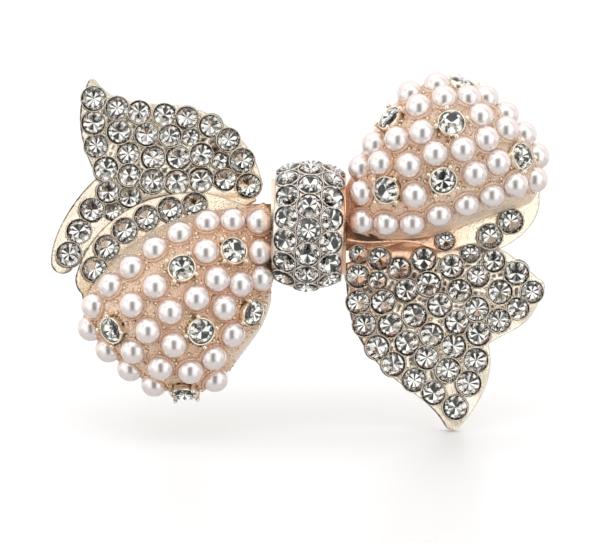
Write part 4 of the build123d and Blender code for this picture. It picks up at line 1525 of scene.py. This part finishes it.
@dataclass(frozen=True)
class Studio:
    """Table, lights, surroundings and camera.

    Attributes:
        palette: the materials.
    """

    palette: Palette

    def build(self) -> None:
        """Sets the stage."""
        self._table()
        self._surroundings()
        for box in SOFTBOXES:
            self._lamp(box)
        self._camera()

    def _place(self, name: str, data: bpy.types.ID) -> bpy.types.Object:
        """Puts a new object on the stage.

        Args:
            name: its name.
            data: its mesh, light or camera.

        Returns:
            The object.
        """
        obj = bpy.data.objects.new(name, data)
        bpy.context.scene.collection.objects.link(obj)
        return obj

    def _table(self) -> None:
        """A wide white table, which mirrors and glass don't see."""
        bm = bmesh.new()
        bmesh.ops.create_grid(bm, x_segments=TABLE_CELLS, y_segments=TABLE_CELLS, size=TABLE_HALF * MM)
        mesh = bpy.data.meshes.new("table")
        bm.to_mesh(mesh)
        bm.free()
        mesh.materials.append(self.palette.table)
        table = self._place("table", mesh)
        table.visible_glossy = False
        table.visible_transmission = False

    def _surroundings(self) -> None:
        """A bright studio of cards, which only mirrors and glass see in detail."""
        world = bpy.data.worlds.new("studio")
        bpy.context.scene.world = world
        world.use_nodes = True
        kit = NodeTree(world.node_tree)
        level = kit.add("ShaderNodeVectorRotate", rotation_type="X_AXIS", Angle=math.radians(LEAN))
        kit.feed(kit.add("ShaderNodeTexCoord").outputs["Generated"], level.inputs["Vector"])
        split = kit.add("ShaderNodeSeparateXYZ")
        kit.feed(level.outputs["Vector"], split.inputs[0])
        azimuth = kit.math("ARCTAN2", split.outputs["X"], kit.math("MULTIPLY", split.outputs["Y"], -1.0))
        azimuth = kit.math("MULTIPLY", azimuth, math.degrees(1.0))
        height = kit.math("MULTIPLY", kit.math("ARCSINE", split.outputs["Z"]), math.degrees(1.0))
        room = grey(ROOM_LEVEL)
        for card in CARDS:
            room = kit.mix(self._card(kit, azimuth, height, card), room, grey(card.level))
        turn = kit.math("ARCTAN2", split.outputs["Z"], split.outputs["X"])
        wave = kit.math("SINE", kit.math("MULTIPLY_ADD", turn, float(RIBS), RIB_START))
        glass = kit.mix(kit.ramp(wave, RIB_EDGE), grey(GLASS_LEVEL), grey(RIB_LEVEL))
        glass = kit.mix(self._card(kit, azimuth, height, BAR), glass, grey(RIB_LEVEL))
        path = kit.add("ShaderNodeLightPath")
        seen = kit.mix(path.outputs["Is Glossy Ray"], grey(PLAIN_LEVEL), room)
        seen = kit.mix(path.outputs["Is Transmission Ray"], seen, glass)
        seen = kit.mix(path.outputs["Is Camera Ray"], seen, grey(1.0))
        kit.feed(seen, world.node_tree.nodes["Background"].inputs["Color"])

    def _card(self, kit: NodeTree, azimuth: Socket, height: Socket, card: Card) -> Socket:
        """Mask of one card.

        Args:
            kit: the world's nodes.
            azimuth: direction to the right of the table's front, in degrees.
            height: direction above the front, in degrees.
            card: the card.

        Returns:
            The mask's socket.
        """
        x = kit.math("SUBTRACT", azimuth, card.azimuth)
        y = kit.math("SUBTRACT", height, card.height)
        cos, sin = math.cos(math.radians(card.tilt)), math.sin(math.radians(card.tilt))
        along = kit.math("MULTIPLY_ADD", x, cos, kit.math("MULTIPLY", y, sin))
        across = kit.math("MULTIPLY_ADD", y, cos, kit.math("MULTIPLY", x, -sin))
        along = kit.math("SUBTRACT", kit.math("ABSOLUTE", along), card.half_width)
        across = kit.math("SUBTRACT", kit.math("ABSOLUTE", across), card.half_height)
        return kit.ramp(kit.math("MAXIMUM", along, across), (-card.soft, card.soft), (1.0, 0.0))

    def _lamp(self, box: Softbox) -> None:
        """Hangs one soft lamp.

        Args:
            box: its place, size and power.
        """
        light = bpy.data.lights.new(box.name, "AREA")
        light.shape = "RECTANGLE"
        light.size, light.size_y = (side * MM for side in box.size)
        light.energy = box.power
        lamp = self._place(box.name, light)
        lamp.location = Vector(box.place) * MM
        lamp.rotation_mode = "QUATERNION"
        lamp.rotation_quaternion = ((Vector(LAMP_AIM) - Vector(box.place)) * MM).to_track_quat("-Z", "Y")

    def _camera(self) -> None:
        """Sets the camera square to the leaning bow."""
        lens = bpy.data.cameras.new("camera")
        lens.sensor_width = FILM_WIDTH
        lens.lens = FILM_WIDTH * CAMERA_DISTANCE / (IMAGE_WIDTH * MM_PER_PIXEL)
        lens.clip_start, lens.clip_end = (distance * MM for distance in CLIP_RANGE)
        camera = self._place("camera", lens)
        right = (IMAGE_WIDTH / 2 - KNOT_PIXEL[0]) * MM_PER_PIXEL
        down = (IMAGE_HEIGHT / 2 - KNOT_PIXEL[1]) * MM_PER_PIXEL
        target = Vector(KNOT_CENTRE) + RIGHT * right - UP * down
        camera.location = (target - BACK * CAMERA_DISTANCE) * MM
        camera.rotation_mode = "QUATERNION"
        camera.rotation_quaternion = BACK.to_track_quat("-Z", "Y")
        bpy.context.scene.camera = camera
        bpy.context.scene.view_settings.view_transform = "Standard"


# ------------------------------------------------------------------ the clip
class Bow:
    """The whole clip."""

    STONE_NODES = ("left_tail_stones", "left_lobe_stones", "right_tail_stones", "right_lobe_stones",
                   "left_loop_back_stones", "right_loop_back_stones")
    PLAIN_NODES = {
        "core_metal": ("bow_core",),
        "spring_metal": ("tension_leaf",),
        "back_metal": ("saddle", "left_post", "right_post"),
        "clip_metal": ("clip_base", "hinge_pin", "clip_arm", "latch_plate", "latch_prong_upper",
                       "latch_prong_lower", "leaf_rivet"),
    }

    def __init__(self) -> None:
        """Reads the places of everything that is set."""
        self.palette = Palette()
        self.metals = self.palette.metals
        self.maker = Maker(self.palette)
        self.stones = {node: StoneSet(self.maker, node) for node in self.STONE_NODES}
        self.stones["knot_stones"] = StoneSet(self.maker, "knot_stones", cut=KNOT_CUT)
        self.crystals = {side: StoneSet(self.maker, side + "_crystals", Kind.CRYSTAL, CRYSTAL_CUT)
                         for side in SIDES}
        self.pearls = {side: PearlSet(self.maker, side + "_loop_pearls") for side in SIDES}

    def build(self) -> None:
        """Builds every new piece of the clip."""
        for group in (self.stones, self.crystals, self.pearls):
            for made in group.values():
                made.build()
        for side in SIDES:
            self._tail(side)
            self._loop(side)
        self._knot()

    def _tail(self, side: str) -> None:
        """Builds the tail of one side.

        Args:
            side: left or right.
        """
        metal = self.metals[side + "_tail_metal"]
        stones = self.stones[side + "_tail_stones"].spots + self.stones[side + "_lobe_stones"].spots
        casting = Casting(self.maker, side + "_tail", stones, metal).build()
        BezelSet(self.maker, side + "_tail_bezels", stones, metal).build()
        BeadSet(self.maker, casting, side + "_tail_beads", stones).build()

    def _loop(self, side: str) -> None:
        """Builds the loop of one side: its back layer, its dome and its settings.

        Args:
            side: left or right.
        """
        back = self.metals["back_metal"]
        stones = self.stones[side + "_loop_back_stones"].spots
        Casting(self.maker, side + "_loop_back", stones, back).build()
        BezelSet(self.maker, side + "_loop_back_bezels", stones, back).build()
        metal = self.metals[side + "_dome_metal"]
        crystals = self.crystals[side].spots
        pearls = self.pearls[side].spots
        SettingSet(self.maker, side + "_crystal_settings", crystals).build()
        casting = Casting(self.maker, side + "_loop_front", pearls + crystals, metal, DOME_CASTING).build()
        BezelSet(self.maker, side + "_pearl_cups", pearls, metal, PEARL_CUP).build()
        BeadSet(self.maker, casting, side + "_dome_beads", pearls + crystals, DOME_BEADS).build()
        if side == "left":
            GranuleSet(self.maker, casting, side + "_dome_granules", pearls + crystals).build()

    def _knot(self) -> None:
        """Builds the band round the middle."""
        stones = self.stones["knot_stones"].spots
        metal = self.metals["knot_metal"]
        casting = Casting(self.maker, "knot_band", stones, metal, KNOT_CASTING).build()
        BezelSet(self.maker, "knot_bezels", stones, metal).build()
        BeadSet(self.maker, casting, "knot_beads", stones).build()

    def dress(self) -> None:
        """Gives the nodes that stay their materials."""
        for metal, names in self.PLAIN_NODES.items():
            for name in names:
                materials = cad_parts[name].data.materials
                materials.clear()
                materials.append(self.metals[metal])
                log.info("%s: %s", name, metal)


def main() -> None:
    """Builds the scene."""
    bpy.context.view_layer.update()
    bow = Bow()
    bow.build()
    bow.dress()
    Studio(bow.palette).build()
    bpy.context.view_layer.update()


if __name__ == "__main__":
    main()
